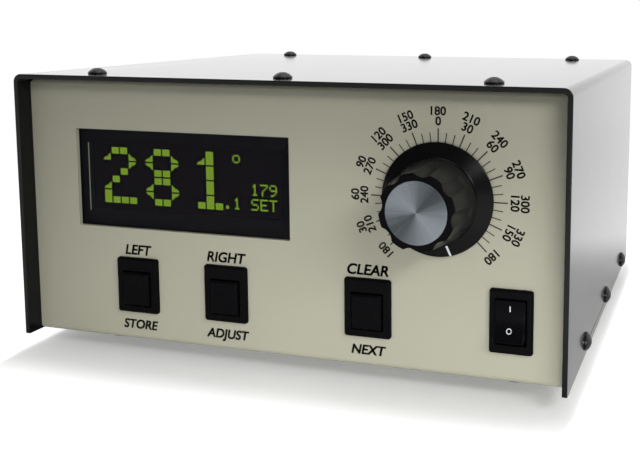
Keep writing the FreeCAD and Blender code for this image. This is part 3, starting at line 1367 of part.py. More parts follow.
def make_terminal_strip():
    strip = new_body("terminal_strip", strip_across, rear_face, case_bottom + cell.strip_up, FACING_REAR)
    base = new_sketch(strip, "strip_base_outline")
    draw_box(base, strip_length + 2 * cell.strip_ear, cell.strip_height)
    for side in (-1, 1):
        draw_circle(base, passing_hole, side * strip_screw_reach, 0)
    pad(strip, base, cell.strip_base)
    barrier = new_sketch(strip, "strip_barrier_outline", "XY_Plane", cell.strip_base)
    draw_box(barrier, cell.strip_wall, cell.strip_height, (cell.strip_wall - strip_length) / 2, 0)
    wall = pad(strip, barrier, cell.strip_barrier - cell.strip_base)
    row_of(strip, [wall], "X_Axis", cell.strip_pitch * cell.strip_ways, cell.strip_ways + 1)

    screws = new_body("strip_screws", strip_across + strip_screw_reach, rear_face + cell.strip_base,
                      case_bottom + cell.strip_up, FACING_REAR)
    screw = draw_screw(screws, "strip_screw", cell.strip_base + cell.sheet_wall + cell.thread_reach)
    row_of(screws, [screw], "X_Axis", 2 * strip_screw_reach, 2)


def make_terminals():
    """A plate in each way of the strip, with a screw at each end."""
    first = cell.strip_pitch * (cell.strip_ways - 1) / 2
    row = ("X_Axis", 2 * first, cell.strip_ways)
    plate_front = cell.strip_base + cell.plate_sheet
    plates = new_body("terminal_plates", strip_across + first, rear_face + cell.strip_base,
                      case_bottom + cell.strip_up, FACING_REAR)
    plate = new_sketch(plates, "terminal_plate")
    draw_box(plate, cell.strip_pitch - cell.strip_wall - 2 * cell.plate_gap,
             cell.strip_height - 2 * cell.plate_inset)
    for side in (-1, 1):
        draw_circle(plate, passing_hole, 0, side * cell.terminal_rows / 2)
    row_of(plates, [pad(plates, plate, cell.plate_sheet)], *row)

    screws = new_body("terminal_screws", strip_across + first, rear_face + plate_front,
                      case_bottom + cell.strip_up - cell.terminal_rows / 2, FACING_REAR)
    profile = new_sketch(screws, "terminal_screw", "XZ_Plane")
    head, bevel = cell.terminal_head_radius, cell.terminal_head_bevel
    draw_outline(profile, [
        (0, -cell.plate_sheet), (cell.screw_radius, -cell.plate_sheet), (cell.screw_radius, 0), (head, 0),
        (head, cell.terminal_head_height - bevel), (head - bevel, cell.terminal_head_height),
        (0, cell.terminal_head_height),
    ])
    row_of(screws, [turn(screws, profile)], *row, "Y_Axis", cell.terminal_rows, 2)


def make_ground_stud():
    """The stud has a slim groove behind its nut, where the thread for the wire's own nut begins."""
    place = (cell.stud_across, rear_face, case_bottom + cell.stud_up)
    radius, end, bevel = cell.ground_stud_radius, cell.ground_stud_length, cell.ground_stud_bevel
    slim, head = radius - cell.ground_groove_depth, cell.ground_head_radius
    groove = cell.ground_nut_height
    inside = cell.sheet_wall + cell.ground_head_height
    stud = new_body("ground_stud", *place, FACING_REAR)
    profile = new_sketch(stud, "ground_stud_profile", "XZ_Plane")
    draw_outline(profile, [
        (0, end), (radius - bevel, end), (radius, end - bevel), (radius, groove + cell.ground_groove_width),
        (slim, groove + cell.ground_groove_width), (slim, groove), (radius, groove),
        (radius, -cell.sheet_wall), (head, -cell.sheet_wall), (head, -inside), (0, -inside),
    ])
    turn(stud, profile)
    nut = new_body("ground_nut", *place, FACING_REAR)
    draw_nut(nut, "ground_nut_outline", cell.ground_nut_flats, cell.ground_nut_height,
             radius + cell.thread_gap)


# ---- the whole controller

make_cover()
make_chassis()
make_case_screws()
make_feet()
make_window()
make_display()
make_display_studs()
for button_name, button_across in button_places().items():
    make_button(button_name, button_across)
make_switch()
make_rocker()
make_potentiometer()
make_knob()
make_knob_insert()
make_main_board()
make_board_parts()
make_transformer()
make_transformer_strap()
make_inlet()
make_inlet_blades()
make_fuse_drawer()
make_ports()
make_jackscrews()
make_terminal_strip()
make_terminals()
make_ground_stud()

doc.recompute()
for thing in doc.Objects:
    if "Invalid" in thing.State or "Error" in thing.State:
        raise RuntimeError("%s failed" % thing.Name)
for sub_part in sub_parts:
    if sub_part.Shape.isNull() or not sub_part.Shape.isValid():
        raise RuntimeError("%s has no sound shape" % sub_part.Label)

os.makedirs("parts", exist_ok=True)
for sub_part in sub_parts:
    sub_part.Shape.exportStep("parts/%s.step" % sub_part.Label)
    print(sub_part.Label, len(sub_part.Shape.Solids), round(sub_part.Shape.Volume, 1))
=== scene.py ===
import math
import bmesh
import bpy
from mathutils import Matrix, Vector
from mathutils.bvhtree import BVHTree


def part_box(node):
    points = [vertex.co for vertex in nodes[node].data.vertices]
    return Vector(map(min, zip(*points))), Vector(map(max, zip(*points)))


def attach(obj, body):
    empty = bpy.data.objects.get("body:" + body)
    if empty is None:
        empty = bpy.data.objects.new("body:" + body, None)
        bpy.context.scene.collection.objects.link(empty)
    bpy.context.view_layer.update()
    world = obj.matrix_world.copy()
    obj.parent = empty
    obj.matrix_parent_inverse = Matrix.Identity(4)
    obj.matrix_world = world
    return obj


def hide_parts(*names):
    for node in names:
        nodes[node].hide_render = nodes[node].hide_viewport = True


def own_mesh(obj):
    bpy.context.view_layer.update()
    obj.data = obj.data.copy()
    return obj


# Desk controller for an antenna rotator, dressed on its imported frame.
# Sizes in the dictionaries are millimetres, colours are screen values from 0 to 255.

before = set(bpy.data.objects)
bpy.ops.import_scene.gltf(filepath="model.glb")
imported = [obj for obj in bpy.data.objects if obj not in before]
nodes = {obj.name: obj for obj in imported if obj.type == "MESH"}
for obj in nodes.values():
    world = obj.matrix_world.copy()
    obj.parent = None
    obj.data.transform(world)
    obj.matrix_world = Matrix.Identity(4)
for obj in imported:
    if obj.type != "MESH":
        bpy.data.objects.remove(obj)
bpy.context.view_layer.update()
mm = 0.001
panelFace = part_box("chassis")[0].y
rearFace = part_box("chassis")[1].y


def middle(node):
    low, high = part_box(node)
    return (low + high) / 2


dialCentre = middle("dial_washer")
print("frame loaded,", len(nodes), "nodes")


class Wire:  # a node's output, which takes part in sums
    def __init__(self, graph, node, key=0):
        self.graph, self.node, self.socket = graph, node, node.outputs[key]

    def __getitem__(self, key):
        return Wire(self.graph, self.node, key)

    def __add__(self, other):
        return self.graph.sum("ADD", self, other)

    def __radd__(self, other):
        return self.graph.sum("ADD", other, self)

    def __sub__(self, other):
        return self.graph.sum("SUBTRACT", self, other)

    def __rsub__(self, other):
        return self.graph.sum("SUBTRACT", other, self)

    def __mul__(self, other):
        return self.graph.sum("MULTIPLY", self, other)

    def __rmul__(self, other):
        return self.graph.sum("MULTIPLY", other, self)

    def __truediv__(self, other):
        return self.graph.sum("DIVIDE", self, other)

    def __gt__(self, other):
        return self.graph.sum("GREATER_THAN", self, other)

    def __lt__(self, other):
        return self.graph.sum("LESS_THAN", self, other)


class Graph:  # a shader or geometry tree
    def __init__(self, tree):
        tree.nodes.clear()
        self.tree = tree

    def add(self, kind, settings=None, sockets=None, key=0):
        node = self.tree.nodes.new(kind)
        for name, value in (settings or {}).items():
            setattr(node, name, value)
        for name, value in (sockets or {}).items():
            if isinstance(value, Wire):
                self.tree.links.new(value.socket, node.inputs[name])
            else:
                node.inputs[name].default_value = value
        return Wire(self, node, key) if node.outputs else node

    def sum(self, operation, *values):
        return self.add("ShaderNodeMath", {"operation": operation}, dict(enumerate(values)))

    def spot(self, centre=(0, 0, 0)):  # object coordinates seen from a centre
        coords = self.add("ShaderNodeTexCoord", key="Object")
        away = [-value * mm for value in centre]
        return self.add("ShaderNodeMapping", {}, {"Vector": coords, "Location": away})

    def parts(self, vector):
        split = self.add("ShaderNodeSeparateXYZ", {}, {"Vector": vector})
        return split["X"], split["Y"], split["Z"]

    def reach(self, across, up):  # distance from an axis
        return self.sum("SQRT", across * across + up * up)

    def waves(self, distance, pitch):
        return self.sum("SINE", distance * (2 * math.pi / (pitch * mm)))

    def noise(self, spot, size, detail=2.0):
        return self.add("ShaderNodeTexNoise", {},
                        {"Vector": spot, "Scale": 1 / (size * mm), "Detail": detail})

    def noiseAlong(self, distance, detail):
        return self.add("ShaderNodeTexNoise", {"noise_dimensions": "1D"},
                        {"W": distance, "Scale": 1.0, "Detail": detail})

    def mix(self, factor, first, second):  # 6 and 7 take the colours, and 2 gives theirs
        return self.add("ShaderNodeMix", {"data_type": "RGBA"},
                        {0: factor, 6: first, 7: second}, key=2)

    def tones(self, factor, pair):  # from one screen colour to another
        return self.mix(factor, *[tone(*colour) for colour in pair])

    def ranged(self, factor, pair):  # from one number to another
        return pair[0] + (pair[1] - pair[0]) * factor

    def bump(self, height, depth):
        return self.add("ShaderNodeBump", {},
                        {"Height": height, "Distance": depth * mm, "Strength": 1.0})

    def surface(self, sockets):
        skin = self.add("ShaderNodeBsdfPrincipled", {}, sockets)
        self.add("ShaderNodeOutputMaterial", {}, {"Surface": skin})


def tone(*colour):  # a screen colour as the shader wants it, by the screen's own curve
    return (*(((value / 255 + 0.055) / 1.055) ** 2.4 for value in colour), 1.0)


finishes = {}  # by the record's slot


def newFinish(slot, name):
    material = bpy.data.materials.new(name)
    material.use_nodes = True
    finishes[slot] = material
    return Graph(material.node_tree)


paints = {
    "cover_paint": ("coverPaint", dict(
        dark=(9, 9, 11), light=(13, 13, 15), patch=55, grain=0.8, depth=0.006,
        rough=(0.2, 0.24), fixed={"IOR": 1.2, "Coat Weight": 1.0, "Coat Roughness": 0.1,
                                  "Coat IOR": 1.2})),
    "panel_paint": ("panelPaint", dict(
        dark=(166, 165, 147), light=(172, 171, 153), patch=48, grain=0.7, depth=0.03,
        rough=(0.46, 0.58), fixed={"Specular IOR Level": 0.35})),
    "black_steel": ("blackSteel", dict(
        dark=(11, 11, 10), light=(19, 19, 17), patch=3, grain=0.4, depth=0.006,
        rough=(0.2, 0.34), fixed={"Specular IOR Level": 0.5})),
    "rubber": ("footRubber", dict(
        dark=(20, 20, 20), light=(30, 30, 30), patch=6, grain=0.5, depth=0.05,
        rough=(0.7, 0.85), fixed={"Specular IOR Level": 0.3})),
    "zinc_steel": ("zincPlate", dict(
        dark=(168, 172, 176), light=(200, 202, 204), patch=3, grain=0.3, depth=0.01,
        rough=(0.22, 0.42), fixed={"Metallic": 1.0})),
    "black_metal": ("blackedMetal", dict(
        dark=(14, 14, 17), light=(20, 20, 24), patch=10, grain=0.3, depth=0.01,
        rough=(0.4, 0.55), fixed={"Specular IOR Level": 0.3})),
    "backlight": ("lightGuide", dict(
        dark=(188, 196, 178), light=(206, 212, 194), patch=12, grain=0.6, depth=0.01,
        rough=(0.4, 0.6))),
    "black_plastic": ("blackPlastic", dict(
        dark=(8, 7, 9), light=(12, 11, 13), patch=18, grain=0.35, depth=0.02,
        rough=(0.34, 0.46), fixed={"Specular IOR Level": 0.03})),
    "button_plastic": ("buttonPlastic", dict(
        dark=(7, 7, 9), light=(11, 11, 13), patch=9, grain=0.3, depth=0.012,
        rough=(0.22, 0.32), fixed={"Specular IOR Level": 0.03})),
    "brass": ("turnedBrass", dict(
        dark=(176, 142, 82), light=(206, 172, 104), patch=4, grain=0.3, depth=0.01,
        rough=(0.25, 0.4), fixed={"Metallic": 1.0})),
    "pot_metal": ("plainCan", dict(
        dark=(150, 152, 154), light=(178, 180, 181), patch=6, grain=0.3, depth=0.01,
        rough=(0.3, 0.45), fixed={"Metallic": 1.0})),
    # painted glint: a pale glow along the display frame's edge
    "lightLeak": ("lightLeak", dict(
        dark=(150, 160, 138), light=(176, 186, 160), patch=4, grain=0.3, depth=0.005,
        rough=(0.3, 0.4), fixed={"Emission Color": tone(150, 162, 134),
                                 "Emission Strength": 0.5})),
    "fuse_glass": ("fuseGlass", dict(
        dark=(196, 204, 206), light=(222, 228, 228), patch=4, grain=0.4, depth=0.005,
        rough=(0.08, 0.16), fixed={"Alpha": 0.5})),
    "darkPrint": ("darkPrint", dict(
        dark=(43, 46, 44), light=(52, 54, 50), patch=3, grain=0.2, depth=0.004,
        rough=(0.5, 0.6), fixed={"Specular IOR Level": 0.3})),
    "scalePrint": ("scalePrint", dict(
        dark=(54, 54, 47), light=(66, 65, 57), patch=3, grain=0.2, depth=0.004,
        rough=(0.5, 0.6), fixed={"Specular IOR Level": 0.3})),
    "whitePrint": ("whitePrint", dict(
        dark=(196, 200, 204), light=(214, 217, 220), patch=2, grain=0.2, depth=0.004,
        rough=(0.45, 0.55))),
}


def mottled(slot, name, look):  # one finish from its two tones, its patches and its grain
    graph = newFinish(slot, name)
    spot = graph.spot()
    patches = graph.noise(spot, look["patch"], 3.0)
    wear = graph.noise(spot, look["patch"] * 0.4, 3.0)
    graph.surface({
        "Base Color": graph.tones(patches, (look["dark"], look["light"])),
        "Roughness": graph.ranged(wear, look["rough"]),
        "Normal": graph.bump(graph.noise(spot, look["grain"]), look["depth"]),
        **look.get("fixed", {}),
    })


for slot, (name, look) in paints.items():
    mottled(slot, name, look)

knobFinish = {
    "centre": (dialCentre.x / mm, panelFace / mm, dialCentre.z / mm),
    "gripLow": 4.6, "gripHigh": 22.9, "disc": 10.8, "patch": 9, "grain": 0.5, "depth": 0.006,
    # the pale tones on the grip are a painted sheen of light, together with rubbed wear
    "polished": ((8, 7, 9), (12, 11, 13)), "rubbed": ((33, 34, 33), (40, 41, 39)),
    "rough": 0.25, "gripRough": 0.3, "wearRough": 0.06, "coatWorn": 0.4,
    "fixed": {"Coat Roughness": 0.2, "Coat IOR": 1.2, "Specular IOR Level": 0.03},
}


def makeKnobPlastic(look):  # polished skirt, uncoated crown, and the gripped side painted paler: a painted sheen of light on it, with rubbed wear
    graph = newFinish("knob_plastic", "knobPlastic")
    spot = graph.spot(look["centre"])
    across, back, up = graph.parts(spot)
    height = 0 - back
    crown = height > look["gripHigh"] * mm
    side = (height > look["gripLow"] * mm) * (height < look["gripHigh"] * mm)
    grip = side * (graph.reach(across, up) > look["disc"] * mm)
    wear = graph.noise(spot, look["patch"], 3.0)
    polished = graph.tones(wear, look["polished"])
    graph.surface({
        # the gripped side's paler tones: painted sheen where light falls on the side, as well
        # as rubbed wear
        "Base Color": graph.mix(grip, polished, graph.tones(wear, look["rubbed"])),
        "Roughness": look["rough"] + look["gripRough"] * grip + look["wearRough"] * wear,
        "Normal": graph.bump(graph.noise(spot, look["grain"]), look["depth"]),
        "Coat Weight": (1 - crown) * (1 - look["coatWorn"] * grip),
        **look["fixed"],
    })


makeKnobPlastic(knobFinish)

windowFinish = {
    "tones": ((14, 14, 21), (18, 18, 26)), "patch": 22, "rough": (0.08, 0.14),
    "alpha": (0.42, 0.46), "fixed": {"Specular IOR Level": 0.08},
}


def makeWindowTint(look):  # smoked acrylic, almost black until something behind it is lit
    graph = newFinish("window_tint", "smokedAcrylic")
    haze = graph.noise(graph.spot(), look["patch"], 3.0)
    graph.surface({
        "Base Color": graph.tones(haze, look["tones"]),
        "Roughness": graph.ranged(haze, look["rough"]),
        "Alpha": graph.ranged(haze, look["alpha"]),
        **look["fixed"],
    })


makeWindowTint(windowFinish)

screen = {
    "left": -72.6, "top": 78.1, "lines": 4,
    "pitchAcross": 3.55, "pitchUp": 5.35, "cellWide": 2.95, "cellHigh": 4.75,
    "dotPitch": 0.6, "dot": 0.55, "lift": 0.06,
}
glassFinish = {
    "ground": ((30, 16, 13), (36, 21, 17)), "cell": (34, 23, 21), "cellShows": 0.6,
    "patch": 25, "rough": (0.25, 0.35), "fixed": {"Specular IOR Level": 0.1},
}


def makeDisplayGlass(look, cells):  # dark glass with its character cells just showing
    graph = newFinish("display_glass", "displayGlass")
    down = (cells["lines"] - 1) * cells["pitchUp"] + cells["cellHigh"]
    spot = graph.spot((cells["left"], 0, cells["top"] - down))
    across, _, up = graph.parts(spot)
    column = graph.sum("FRACT", across / (cells["pitchAcross"] * mm))
    row = graph.sum("FRACT", up / (cells["pitchUp"] * mm))
    cell = (column < cells["cellWide"] / cells["pitchAcross"]) * \
        (row < cells["cellHigh"] / cells["pitchUp"])
    haze = graph.noise(spot, look["patch"])
    ground = graph.tones(haze, look["ground"])
    graph.surface({
        "Base Color": graph.mix(cell * look["cellShows"], ground, tone(*look["cell"])),
        "Roughness": graph.ranged(haze, look["rough"]),
        **look["fixed"],
    })


makeDisplayGlass(glassFinish, screen)

dotFinish = {
    "base": (40, 60, 12), "glow": ((136, 182, 40), (156, 196, 54)), "patch": 14,
    "fixed": {"Roughness": 0.5, "Emission Strength": 1.9},
}


def makeLitDots(look):
    graph = newFinish("litDots", "litDots")
    patches = graph.noise(graph.spot(), look["patch"])
    graph.surface({
        "Base Color": tone(*look["base"]),
        "Emission Color": graph.tones(patches, look["glow"]),
        **look["fixed"],
    })


makeLitDots(dotFinish)

boardFinish = {
    "run": 2.4, "line": 0.36, "wander": 5.0, "wanderPatch": 16, "wayPatch": 11,
    "mask": ((24, 74, 46), (44, 104, 62)), "shade": (12, 44, 28), "shadeShows": 0.2,
    "weave": 0.6, "weaveRise": 0.3, "depth": 0.035, "rough": (0.34, 0.48),
}


def makeCircuitBoard(look):  # green mask over copper runs, with a fine weave
    graph = newFinish("circuit_board", "boardMask")
    spot = graph.spot()
    across, back, up = graph.parts(spot)
    wander = graph.noise(spot, look["wanderPatch"], 0.0) * look["wander"] * mm
    runs = graph.sum("FRACT", (across + wander) / (look["run"] * mm))
    cross = graph.sum("FRACT", (back + up + wander) / (look["run"] * mm))
    pick = graph.noise(spot, look["wayPatch"], 0.0) > 0.5
    lines = pick * (runs < look["line"]) + (1 - pick) * (cross < look["line"])
    weave = graph.noise(spot, look["weave"])
    mask = graph.tones(lines, look["mask"])
    graph.surface({
        "Base Color": graph.mix(weave * look["shadeShows"], mask, tone(*look["shade"])),
        "Roughness": graph.ranged(weave, look["rough"]),
        "Normal": graph.bump(lines + weave * look["weaveRise"], look["depth"]),
    })


makeCircuitBoard(boardFinish)

coreFinish = {
    "sheet": 0.9, "plates": ((60, 58, 57), (112, 110, 108)), "depth": 0.12,
    "stain": (74, 62, 52), "stainShows": 0.6, "patch": 9, "rough": (0.4, 0.6), "metal": 0.7,
}


def makeLaminations(look):  # thin plates, one behind the other
    graph = newFinish("laminations", "coreSheets")
    spot = graph.spot()
    _, back, _ = graph.parts(spot)
    sheets = graph.waves(back, look["sheet"]) * 0.5 + 0.5
    stain = graph.noise(spot, look["patch"], 3.0)
    plates = graph.tones(sheets, look["plates"])
    graph.surface({
        "Base Color": graph.mix(stain * look["stainShows"], plates, tone(*look["stain"])),
        "Metallic": look["metal"],
        "Roughness": graph.ranged(stain, look["rough"]),
        "Normal": graph.bump(sheets, look["depth"]),
    })


makeLaminations(coreFinish)

windingFinish = {
    "turn": 0.8, "tape": ((168, 112, 38), (198, 142, 60)), "patch": 7, "depth": 0.1,
    "rough": (0.28, 0.48),
}


def makeCopper(look):  # the coil under its amber tape, turns showing as ridges
    graph = newFinish("copper", "windingTape")
    spot = graph.spot()
    _, _, up = graph.parts(spot)
    turns = graph.waves(up, look["turn"]) * 0.5 + 0.5
    stain = graph.noise(spot, look["patch"], 3.0)
    graph.surface({
        "Base Color": graph.tones(stain, look["tape"]),
        "Roughness": graph.ranged(stain, look["rough"]),
        "Normal": graph.bump(turns, look["depth"]),
    })


makeCopper(windingFinish)

discFinish = {
    "centre": (dialCentre.x / mm, 0, dialCentre.z / mm), "ring": 0.42, "scatter": 0.35,
    # painted highlight: a bright fan and streaks of light, set by angle round the disc
    "fan": 128, "fanShows": 0.85, "streaks": 4, "streaksShow": 0.3,
    "metal": ((52, 58, 61), (138, 146, 152)), "dust": (120, 118, 120), "dustShows": 0.25,
    "rough": (0.3, 0.42), "scatterRise": 0.5, "depth": 0.012,
}


def makeTurnedAluminium(look):  # a faced disc: the tool's rings, and a painted highlight on them, a fan of light with streaks
    graph = newFinish("turned_aluminium", "turnedAluminium")
    across, _, up = graph.parts(graph.spot(look["centre"]))
    reach = graph.reach(across, up)
    angle = graph.sum("ARCTAN2", up, across)
    rings = graph.waves(reach, look["ring"])
    scatter = graph.noiseAlong(reach / (look["scatter"] * mm), 2.0)
    # painted highlight in the base colour: streaks and a fan of light by angle round the
    # centre
    streaks = graph.noiseAlong(angle * look["streaks"], 3.0)
    fan = graph.sum("COSINE", (angle - math.radians(look["fan"])) * 2) * 0.5 + 0.5
    paintedShine = fan * look["fanShows"] + (streaks - 0.5) * look["streaksShow"]
    metal = graph.tones(paintedShine, look["metal"])
    graph.surface({
        "Base Color": graph.mix(scatter * look["dustShows"], metal, tone(*look["dust"])),
        "Metallic": 1.0,
        "Roughness": graph.ranged(scatter, look["rough"]),
        "Normal": graph.bump(rings + scatter * look["scatterRise"], look["depth"]),
    })


makeTurnedAluminium(discFinish)

for node in nodes.values():
    slot = node.material_slots[0].material.name.split(".")[0]
    node["finish"] = slot
    node.material_slots[0].material = finishes[slot]
print("finishes made,", len(finishes))


def newPiece(name, mesh, slot, body="root", place=None):
    if place is not None:
        mesh.transform(place)
    piece = bpy.data.objects.new(name, mesh)
    bpy.context.scene.collection.objects.link(piece)
    mesh.materials.clear()
    mesh.materials.append(finishes[slot])
    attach(piece, body)
    return piece


def hostOf(name, data):
    host = bpy.data.objects.new(name, data)
    bpy.context.scene.collection.objects.link(host)
    return host


def meshOf(host):  # what an object looks like after its modifiers; the object itself goes
    bpy.context.view_layer.update()
    graph = bpy.context.evaluated_depsgraph_get()
    mesh = bpy.data.meshes.new_from_object(
        host.evaluated_get(graph), preserve_all_data_layers=True, depsgraph=graph)
    bpy.data.objects.remove(host)
    return mesh


edgeWork = {"weld": 0.002, "flat": 0.6, "steps": 2, "sharp": 32.0}
softEdges = {  # how wide, and the body that the piece rides on
    "cover": (0.35, "root"),
    "left_button_housing": (0.22, "root"), "right_button_housing": (0.22, "root"),
    "clear_button_housing": (0.22, "root"), "left_button": (0.22, "left_key"),
    "right_button": (0.22, "right_key"), "clear_button": (0.22, "clear_key"),
    "switch_housing": (0.25, "root"), "power_rocker": (0.5, "rocker"),
    "mains_inlet": (0.35, "root"), "fuse_drawer": (0.2, "fuse_tray"),
    "terminal_strip": (0.25, "root"),
}


def softened(node, width, body, look):
    # the node's own shape with its edges broken, as a piece that stands for it
    mesh = nodes[node].data.copy()
    shape = bmesh.new()
    shape.from_mesh(mesh)
    bmesh.ops.remove_doubles(shape, verts=shape.verts, dist=look["weld"] * mm)
    bmesh.ops.dissolve_limit(shape, angle_limit=math.radians(look["flat"]),
                             verts=shape.verts, edges=shape.edges)
    bmesh.ops.recalc_face_normals(shape, faces=shape.faces)
    for face in shape.faces:
        face.smooth = True
    shape.to_mesh(mesh)
    shape.free()
    if "custom_normal" in mesh.attributes:
        mesh.attributes.remove(mesh.attributes["custom_normal"])
    host = hostOf(node + "Host", mesh)
    edges = host.modifiers.new("edges", "BEVEL")
    edges.width, edges.segments = width * mm, look["steps"]
    edges.limit_method, edges.angle_limit = "ANGLE", math.radians(look["sharp"])
    edges.harden_normals = True
    edges.use_clamp_overlap = False
    edges.miter_outer = "MITER_ARC"
    piece = newPiece(node + "_soft", meshOf(host), nodes[node]["finish"], body)
    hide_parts(node)
    return piece


softPieces = {node: softened(node, width, body, edgeWork)
              for node, (width, body) in softEdges.items()}
print("cover and controls softened")


def rounded(corners, steps=5):  # an outline's corners; a third value rounds one
    outline = []
    for index, corner in enumerate(corners):
        here = Vector(corner[:2])
        if len(corner) < 3:
            outline.append(here)
            continue
        before = Vector(corners[index - 1][:2]) - here
        after = Vector(corners[index + 1][:2]) - here
        before.normalize()
        after.normalize()
        half = before.angle(after) / 2
        centre = here + (before + after).normalized() * (corner[2] / math.sin(half))
        first = here + before * (corner[2] / math.tan(half)) - centre
        last = here + after * (corner[2] / math.tan(half)) - centre
        for step in range(steps + 1):
            spoke = first.slerp(last, step / steps)
            outline.append(centre + spoke.normalized() * corner[2])
    return outline


def spun(name, corners, around):  # an outline of (radius, height) turned about the height
    outline = rounded(corners)
    shape = bmesh.new()
    rings = []
    for turn in range(around):
        angle = 2 * math.pi * turn / around
        rings.append([shape.verts.new((radius * mm * math.cos(angle),
                                       radius * mm * math.sin(angle), height * mm))
                      for radius, height in outline])
    for turn in range(around):
        here, there = rings[turn], rings[(turn + 1) % around]
        for row in range(len(outline) - 1):
            shape.faces.new((here[row], there[row], there[row + 1], here[row + 1]))
    bmesh.ops.remove_doubles(shape, verts=shape.verts, dist=0.001 * mm)
    bmesh.ops.recalc_face_normals(shape, faces=shape.faces)
    for face in shape.faces:
        face.smooth = True
    mesh = bpy.data.meshes.new(name)
    shape.to_mesh(mesh)
    shape.free()
    return mesh


def grown(name, inputs, build, slot, base=None, weighted=False):
    # runs a Geometry Nodes tree on a mesh and returns the result as a plain mesh
    kinds = {float: "NodeSocketFloat", int: "NodeSocketInt",
             bpy.types.Object: "NodeSocketObject"}
    tree = bpy.data.node_groups.new(name, "GeometryNodeTree")
    tree.interface.new_socket("Geometry", in_out="INPUT", socket_type="NodeSocketGeometry")
    tree.interface.new_socket("Geometry", in_out="OUTPUT", socket_type="NodeSocketGeometry")
    keys = {}
    for title, value in inputs.items():
        made = tree.interface.new_socket(title, in_out="INPUT", socket_type=kinds[type(value)])
        keys[title] = made.identifier
    graph = Graph(tree)
    result = build(graph, graph.add("NodeGroupInput"))
    result = graph.add("GeometryNodeRealizeInstances", {}, {"Geometry": result})
    result = graph.add("GeometryNodeSetMaterial", {},
                       {"Geometry": result, "Material": finishes[slot]})
    graph.add("NodeGroupOutput", {}, {"Geometry": result})
    host = hostOf(name + "Host", base or bpy.data.meshes.new(name))
    modifier = host.modifiers.new(name, "NODES")
    modifier.node_group = tree
    for title, value in inputs.items():
        modifier[keys[title]] = value
    if weighted:
        host.modifiers.new("shading", "WEIGHTED_NORMAL").keep_sharp = True
    return meshOf(host)


def onPanel(x, z, lift=0.0):  # drawn flat, then stood up on the front panel, in millimetres
    return Matrix.Translation((x * mm, panelFace - lift * mm, z * mm)) @ \
        Matrix.Rotation(math.pi / 2, 4, "X")


def onDial(lift=0.0):
    return onPanel(dialCentre.x / mm, dialCentre.z / mm, lift)


def onRear(x, z, lift):
    return Matrix.Translation((x * mm, rearFace + lift * mm, z * mm)) @ \
        Matrix.Rotation(math.pi, 4, "Z") @ Matrix.Rotation(math.pi / 2, 4, "X")


def letters(words):
    curve = bpy.data.curves.new("letters", "FONT")
    curve.body, curve.size, curve.resolution_u = words, 1.0, 6
    return meshOf(hostOf("lettersHost", curve))


capital = max(vertex.co.y for vertex in letters("H").vertices)


def joined(name, placedMeshes):  # several meshes with their places, as one
    shape = bmesh.new()
    for mesh, place in placedMeshes:
        mesh.transform(place)
        shape.from_mesh(mesh)
    whole = bpy.data.meshes.new(name)
    shape.to_mesh(whole)
    shape.free()
    return whole


def wordMesh(words, height, weight, slant=0.0):
    # flat letters centred on the origin: height of a capital, added weight, and lean
    mesh = letters(words)
    xs = [vertex.co.x for vertex in mesh.vertices]
    mesh.transform(Matrix.Scale(height * mm / capital, 4) @ Matrix.Translation(
        (-(max(xs) + min(xs)) / 2, -capital / 2, 0)))
    for vertex in mesh.vertices:
        vertex.co.x += slant * vertex.co.y
    shifts = [(across * weight * mm, up * weight * mm)
              for across in (-1, 0, 1) for up in (-1, 0, 1)]
    return joined(words, [(mesh.copy(), Matrix.Translation((x, y, 0))) for x, y in shifts])


def gridMesh(name, columns, rows):  # a unit square in its own plane
    shape = bmesh.new()
    bmesh.ops.create_grid(shape, x_segments=columns, y_segments=rows, size=0.5)
    mesh = bpy.data.meshes.new(name)
    shape.to_mesh(mesh)
    shape.free()
    return mesh


def laidOn(mesh, target, lift, start=20):  # drops each vertex on to a piece, towards the rear
    tree = BVHTree.FromObject(target, bpy.context.evaluated_depsgraph_get())
    way = Vector((0, 1, 0))
    for vertex in mesh.vertices:
        hit = tree.ray_cast(vertex.co - way * start * mm, way)[0]
        if hit is not None:
            vertex.co = hit - way * lift * mm


spring = {"wire": 0.3, "turns": 3.0, "around": 40, "travel": 2.5}


def coilSpring(graph, entry):
    coil = graph.add("GeometryNodeCurveSpiral", {}, {
        "Resolution": entry["Around"], "Rotations": entry["Turns"], "Height": entry["Length"],
        "Start Radius": entry["Radius"], "End Radius": entry["Radius"]})
    wire = graph.add("GeometryNodeCurvePrimitiveCircle", {},
                     {"Resolution": 10, "Radius": entry["Wire"]})
    return graph.add("GeometryNodeCurveToMesh", {},
                     {"Curve": coil, "Profile Curve": wire, "Fill Caps": True})


def makeSprings(look):  # a wound coil in each spring's place, fixed on the case
    for key in ("left", "right", "clear"):
        node = key + "_button_spring"
        low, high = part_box(node)
        wire = look["wire"] * mm
        mesh = grown(key + "ButtonCoil", {
            "Around": look["around"], "Turns": look["turns"], "Wire": wire,
            "Length": high.y - low.y - 2 * wire, "Radius": (high.x - low.x) / 2 - wire,
        }, coilSpring, "zinc_steel")
        centre = (low + high) / 2
        piece = newPiece(key + "ButtonCoil", mesh, "zinc_steel", place=(
            Matrix.Translation((centre.x, high.y - wire, centre.z))
            @ Matrix.Rotation(math.pi / 2, 4, "X")))
        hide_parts(node)
        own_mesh(piece)
    print("button springs wound")


makeSprings(spring)

screwHead = {
    "radius": 3.35, "rim": 0.55, "height": 2.1, "shank": 1.4, "length": 5.0, "foot": 0.15,
    "socket": 1.15, "socketDeep": 1.1, "slack": 0.01, "rows": 7, "around": 48, "sharp": 35,
    "seed": 7,
}


